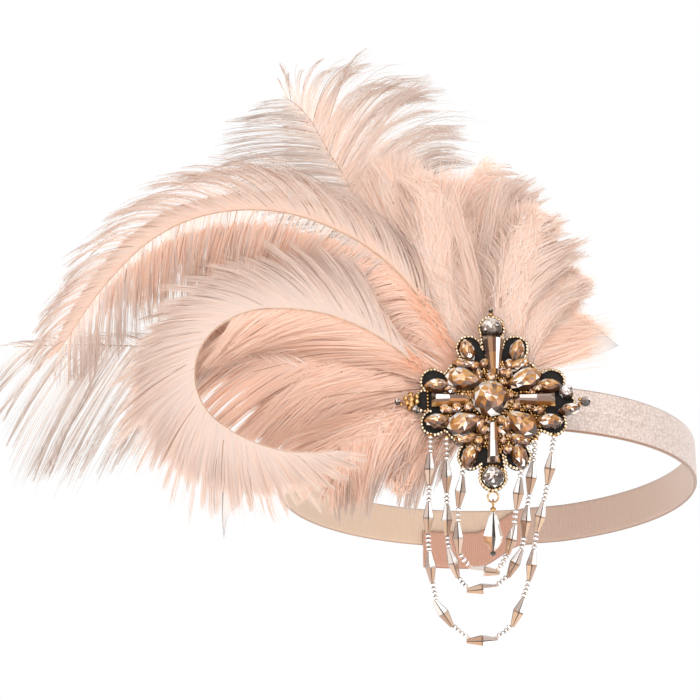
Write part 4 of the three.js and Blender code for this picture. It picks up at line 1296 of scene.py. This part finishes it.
def cutBicone(middle, way):
    # two cones of facets: the half on top clear and lighter, a painted light from above, the lower half
    # champagne; the drilled hole shows as a dark streak
    front = np.array([0.0, -1.0, 0.0])
    across = unit(np.cross(way, front))
    front = np.cross(across, way)
    corners = np.radians(bicone["corners"])
    half, waist = bicone["length"] / 2, bicone["waist"]
    wide, narrow = bicone["radius"], bicone["endRadius"]
    points = []
    for p, r in ((-half, narrow), (-waist, wide), (waist, wide), (half, narrow)):
        points += [middle + way * p + r * (across * math.cos(a) + front * math.sin(a)) for a in corners]
    up = way[2] >= 0
    streak = dice.random() < bicone["streaks"]
    bright = 1 if dice.random() < bicone["firstShines"] else 4      # which of the two front facets gets the painted highlight
    tints, slots = [], []
    for i in range(3):
        clear = (i == 2) == up
        for j in range(len(corners)):
            if j in (0, 5):             # the thread shows through
                tint = 0.1 if streak or not clear else 0.85
            elif j in (2, 3, 7, 8):     # the edges, seen from the side: painted shade
                tint = 0.3 if clear else 0.2
            elif clear:
                tint = dice.uniform(0.93, 1.0) if j % 5 == bright else dice.uniform(0.55, 0.8)
            else:
                tint = dice.uniform(0.42, 0.74)
            if i == 1:                  # the waist, painted darker as shade
                tint *= 0.7
            tints.append((tint, 0.4 if clear else dice.uniform(0.45, 0.75)))
            slots.append(1 if clear else 2)
    return points, tubeFaces(4, len(corners)), tints + [(0.3, 0.5)] * 2, slots + [2, 2]


def makeSwag(name, swag):
    line = smoothLine([(x, swag["depth"], z) for x, z in swag["line"]])
    far = walked(line)

    def spot(at):
        return onLine(line, far, at)

    def way(at):
        return unit(spot(at + 0.5) - spot(at - 0.5))

    gather = Gather()
    half, margin = bicone["length"] / 2, swag["margin"]
    middles = [margin + i * (far[-1] - 2 * margin) / (swag["beads"] - 1) for i in range(swag["beads"])]
    for at in middles:
        gather.add(*cutBicone(spot(at), way(at)))
    edges = [0.0] + [e for at in middles for e in (at - half, at + half)] + [far[-1]]
    sides = swagSeed["sides"]
    for start, end in zip(edges[0::2], edges[1::2]):
        count = int(round((end - start) / swagSeed["pitch"]))
        for i in range(count):
            at = start + (i + 0.5) * (end - start) / count
            place = spot(at) + dice.normal(0, 0.04, 3)
            radius = swagSeed["radius"] * dice.uniform(0.94, 1.04)
            points, faces = roundBead(place, radius, way(at), swagSeed["long"], sides, 6)
            shine = dice.uniform(0.7, 0.98)
            rings = (0.08, 0.35, shine, shine, 0.35, 0.08)      # painted shade at the ends where beads touch, painted highlight in the middle
            gather.add(points, faces, [(shade, swagSeed["grey"]) for shade in rings for _ in range(sides)])
    for end, inward in ((0.0, swagEnd["in"]), (far[-1], -swagEnd["in"])):
        gather.add(*roundBead(spot(end) + way(end) * inward, swagEnd["radius"], way(end), 0.9, 10, 8), slot=3)
    tube, back = [], np.array([0.0, 1.0, 0.0])
    for at in np.arange(0, far[-1], swagThread["step"]):
        out = unit(np.cross(way(at), back))
        tube += [spot(at) + swagThread["radius"] * (out * math.cos(a) + back * math.sin(a))
                 for a in turns(swagThread["sides"])]
    gather.add(tube, tubeFaces(len(tube) // swagThread["sides"], swagThread["sides"]), slot=4)
    materials = [seedGlass, smoke, champagne, gilt, thread]
    gather.piece(name + "_beads", materials, plumbToFrame, name, "bead_string", smooth=(0, 3, 4))


for swagName, swagRow in swags.items():
    makeSwag(swagName, swagRow)
print("strings hung")


# the drop and its ring

drop = {
    "loop": (-0.6, -9.0, -32.2),        # middle of the fixed ring, from the brooch's middle
    "ring": 1.25, "wire": 0.3,
    "fixedRing": 1.8,                   # grows upwards, to the rim beads
    "ringDrop": 0.35,                   # middle of the moving ring below the hinge
    "cap": (2.35, 1.0, 0.8), "foot": (17.2, 1.0, 0.9),          # beads: below the hinge, radius, long
    "profile": [(0.5, 3.1), (1.3, 4.2), (2.3, 7.2), (3.5, 11.236), (3.1, 12.988), (1.9, 15.032),
                (0.5, 16.2)],           # radius, mm below the hinge
    # degrees from the right, front at 90
    "corners": [80, 100, 128, 160, 200, 232, 260, 280, 308, 340, 380, 412],
}


def makeDrop():
    loop = np.array(drop["loop"])
    up = np.array([0.0, 0.0, 1.0])
    gather = Gather()
    rise = drop["fixedRing"] - drop["ring"]
    gather.add(*wireRing(loop + up * rise, drop["fixedRing"], drop["wire"], (0, 1, 0)))
    gather.piece("drop_loop_ring", [gilt], plumbToFrame, "drop_loop", "gold", smooth=(0,))

    hinge = loop - up * drop["ring"]
    gather = Gather()
    gather.add(*wireRing(hinge - up * drop["ringDrop"], drop["ring"], drop["wire"], (1, 0, 0)))
    below, radius, long = drop["cap"]
    gather.add(*roundBead(hinge - up * below, radius, up, long, 12, 8))
    corners, profile = np.radians(drop["corners"]), drop["profile"]
    points = [hinge + np.array([r * math.cos(a), -r * math.sin(a), -z]) for r, z in profile for a in corners]
    tints, slots = [], []
    for i in range(len(profile) - 1):
        for j in range(len(corners)):
            tint, slot = dice.uniform(0.62, 0.98), 1
            if j in (0, 6):             # the core, painted dark as shade
                tint = 0.06
            elif j in (3, 9):           # the edges, seen from the side: painted shade
                tint = 0.35
            elif i > 2 and j in (1, 2, 7):
                tint, slot = dice.uniform(0.45, 0.62), 2
            # two rows of facets painted white: painted highlights
            elif i in (1, 4):
                tint = dice.uniform(0.9, 1.0)
            tints.append((tint, 0.3))
            slots.append(slot)
    gather.add(points, tubeFaces(len(profile), len(corners)), tints + [(0.2, 0.5)] * 2, slots + [1, 1])
    below, radius, long = drop["foot"]
    gather.add(*roundBead(hinge - up * below, radius, up, long, 12, 8), (0.1, 0.5), 1)
    gather.piece("drop_crystal", [gilt, smoke, champagne], plumbToFrame, "drop", "smoke_glass", "drop")


makeDrop()
print("drop hung")


# band

band = {
    "halfWidth": 80.0, "halfDepth": 94.0,       # of the head's oval, mm
    "wide": 16.0, "thick": 1.4,
    "hem": 0.5, "pad": 0.12,                    # rounding of the edges, and how far the outside bulges
    "start": -200.0, "end": 196.0,              # degrees from the forehead
    "lap": (150.0, 163.0), "lapIn": 1.7,        # where the sewn end passes inside, and how far
    "lapDrop": 10.0, "lapLevel": 180.0,         # how far it has slid down, and from where it runs level
    "crease": (0.35, 0.8),                      # depth and half width
    "steps": 420,
    "ribPitch": 0.9, "knotPitch": 0.95,         # mm; the real knit is half that, drawn coarser to show
}


def ease(value, low, high):
    t = np.clip((value - low) / (high - low), 0, 1)
    return t * t * (3 - 2 * t)


def bandSection():
    # one turn round the strip, outer face first: through the cloth and up
    half, edge, hem, pad = band["wide"] / 2, band["thick"] / 2, band["hem"], band["pad"]
    depth, crease = band["crease"]
    section = []
    for up in np.linspace(-half + hem, half - hem, 25):
        dent = depth * max(0.0, 1 - abs(up) / crease)
        section.append((edge - 0.1 + pad * (1 - (abs(up) / half) ** 4) - dent, up))
    fold = [(edge * 0.6, half - 0.12), (0.0, half), (-edge * 0.6, half - 0.12)]
    inner = [(-edge, up) for up in np.linspace(half - hem, -half + hem, 13)]
    return np.array(section + fold + inner + [(-through, -up) for through, up in fold])


def elasticMaterial(length, around):
    # fold-over elastic, knitted: pink satin knots outside, plain ribbed beige inside
    material, tree = newMaterial("foldOverElasticKnit")
    spot = addNode(tree, "ShaderNodeUVMap", uv_map="OFBake")
    part = addNode(tree, "ShaderNodeSeparateXYZ", {0: spot.outputs[0]})
    # from here the cloth is measured in mm; a wave of scale 0.314 repeats once in each
    cloth = addNode(tree, "ShaderNodeMapping", {0: spot.outputs[0], "Scale": (length, around, 1)})
    knots = addNode(tree, "ShaderNodeTexVoronoi", {
        "Vector": cloth.outputs[0], "Scale": 1 / band["knotPitch"], "Randomness": 0.7})
    ribs = addNode(tree, "ShaderNodeTexWave", {
        "Vector": cloth.outputs[0], "Scale": 0.314 / band["ribPitch"], "Distortion": 0.6,
        "Detail Scale": 2.0})
    outside = addNode(tree, "ShaderNodeValToRGB", {0: knots.outputs["Distance"]}, ramp=[
        (0.05, "#D9CCC6"), (0.45, "#C9B8B0"), (0.9, "#B09A90")])
    # inside face: darker along the strip towards the sewn end, painted shade; the sewn end that laps over it
    # pinker
    face = addNode(tree, "ShaderNodeValToRGB", {0: part.outputs["X"]}, ramp=[
        (0.0, "#DABFA8"), (0.3, "#D4B8A2"), (0.8, "#C4AA9A"), (0.92, "#C0A494"), (0.93, "#C69681")])
    weave = addNode(tree, "ShaderNodeMix", {0: 0.08, 6: face.outputs[0], 7: ribs.outputs[0]},
                    data_type="RGBA", blend_type="SOFT_LIGHT")
    which = addNode(tree, "ShaderNodeValToRGB", {0: part.outputs["Y"]}, ramp=[
        (0.0, "#000000"), (0.015, "#FFFFFF"), (0.455, "#FFFFFF"), (0.475, "#000000")])
    both = addNode(tree, "ShaderNodeMix", {0: which.outputs[0], 6: weave.outputs[2], 7: outside.outputs[0]},
                   data_type="RGBA")
    fold = addNode(tree, "ShaderNodeValToRGB", {0: part.outputs["Y"]}, ramp=[
        (0.0, "#AE998D"), (0.012, "#FFFFFF"), (0.445, "#FFFFFF"), (0.462, "#AE998D"), (0.49, "#AE998D"),
        (0.505, "#FFFFFF"), (0.945, "#FFFFFF"), (0.962, "#AE998D")])       # folded edges, painted darker as shade
    both = addNode(tree, "ShaderNodeMix", {0: 1.0, 6: both.outputs[2], 7: fold.outputs[0]}, data_type="RGBA",
                   blend_type="MULTIPLY")
    height = addNode(tree, "ShaderNodeMix", {0: which.outputs[0], 2: ribs.outputs["Fac"],
                                             3: knots.outputs["Distance"]})
    lift = addNode(tree, "ShaderNodeBump", {"Height": height.outputs[0], "Strength": 0.5,
                                            "Distance": 0.25 * mm}, invert=True)
    skin = addNode(tree, "ShaderNodeBsdfPrincipled", {
        "Base Color": both.outputs[2], "Roughness": 0.52, "Sheen Weight": 0.3, "Sheen Roughness": 0.4,
        "Normal": lift.outputs[0]})
    addNode(tree, "ShaderNodeOutputMaterial", {"Surface": skin.outputs[0]})
    return material


def bandPlace(degrees):
    # middle of the strip and the way out
    turn = np.radians(degrees)
    wide, deep = band["halfWidth"], band["halfDepth"]
    out = np.stack([np.sin(turn) / wide, -np.cos(turn) / deep, np.zeros_like(turn)], -1)
    out /= np.linalg.norm(out, axis=-1, keepdims=True)
    low, high = band["lap"]
    fall = band["lapDrop"] * ease(degrees, high, band["lapLevel"])
    middle = np.stack([wide * np.sin(turn), -deep * np.cos(turn), -fall], -1)
    return middle - out * (band["lapIn"] * ease(degrees, low, high))[..., None], out


def makeBand():
    section = bandSection()
    middle, out = bandPlace(np.linspace(band["start"], band["end"], band["steps"]))
    rings = middle[:, None, :] + section[None, :, 0, None] * out[:, None, :]
    rings[..., 2] += section[None, :, 1]
    far, girth = walked(middle), walked(np.vstack([section, section[:1]]))
    u, v = far / far[-1], girth / girth[-1]
    count = len(section)
    tint = []
    for i in range(len(middle) - 1):
        for j in range(count):
            tint += [(u[i], v[j]), (u[i], v[j + 1]), (u[i + 1], v[j + 1]), (u[i + 1], v[j])]
    tint += [(0.0, 0.6)] * count + [(1.0, 0.6)] * count         # the cut ends
    material = elasticMaterial(far[-1], girth[-1])
    piece = makePiece("band_elastic", leanToFrame(rings.reshape(-1, 3)), tubeFaces(len(middle), count),
                      [material], tint, smooth=True)
    handOver(piece, "band")


makeBand()
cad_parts["quill_binding"].data.materials.clear()
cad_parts["quill_binding"].data.materials.append(thread)
print("band closed")
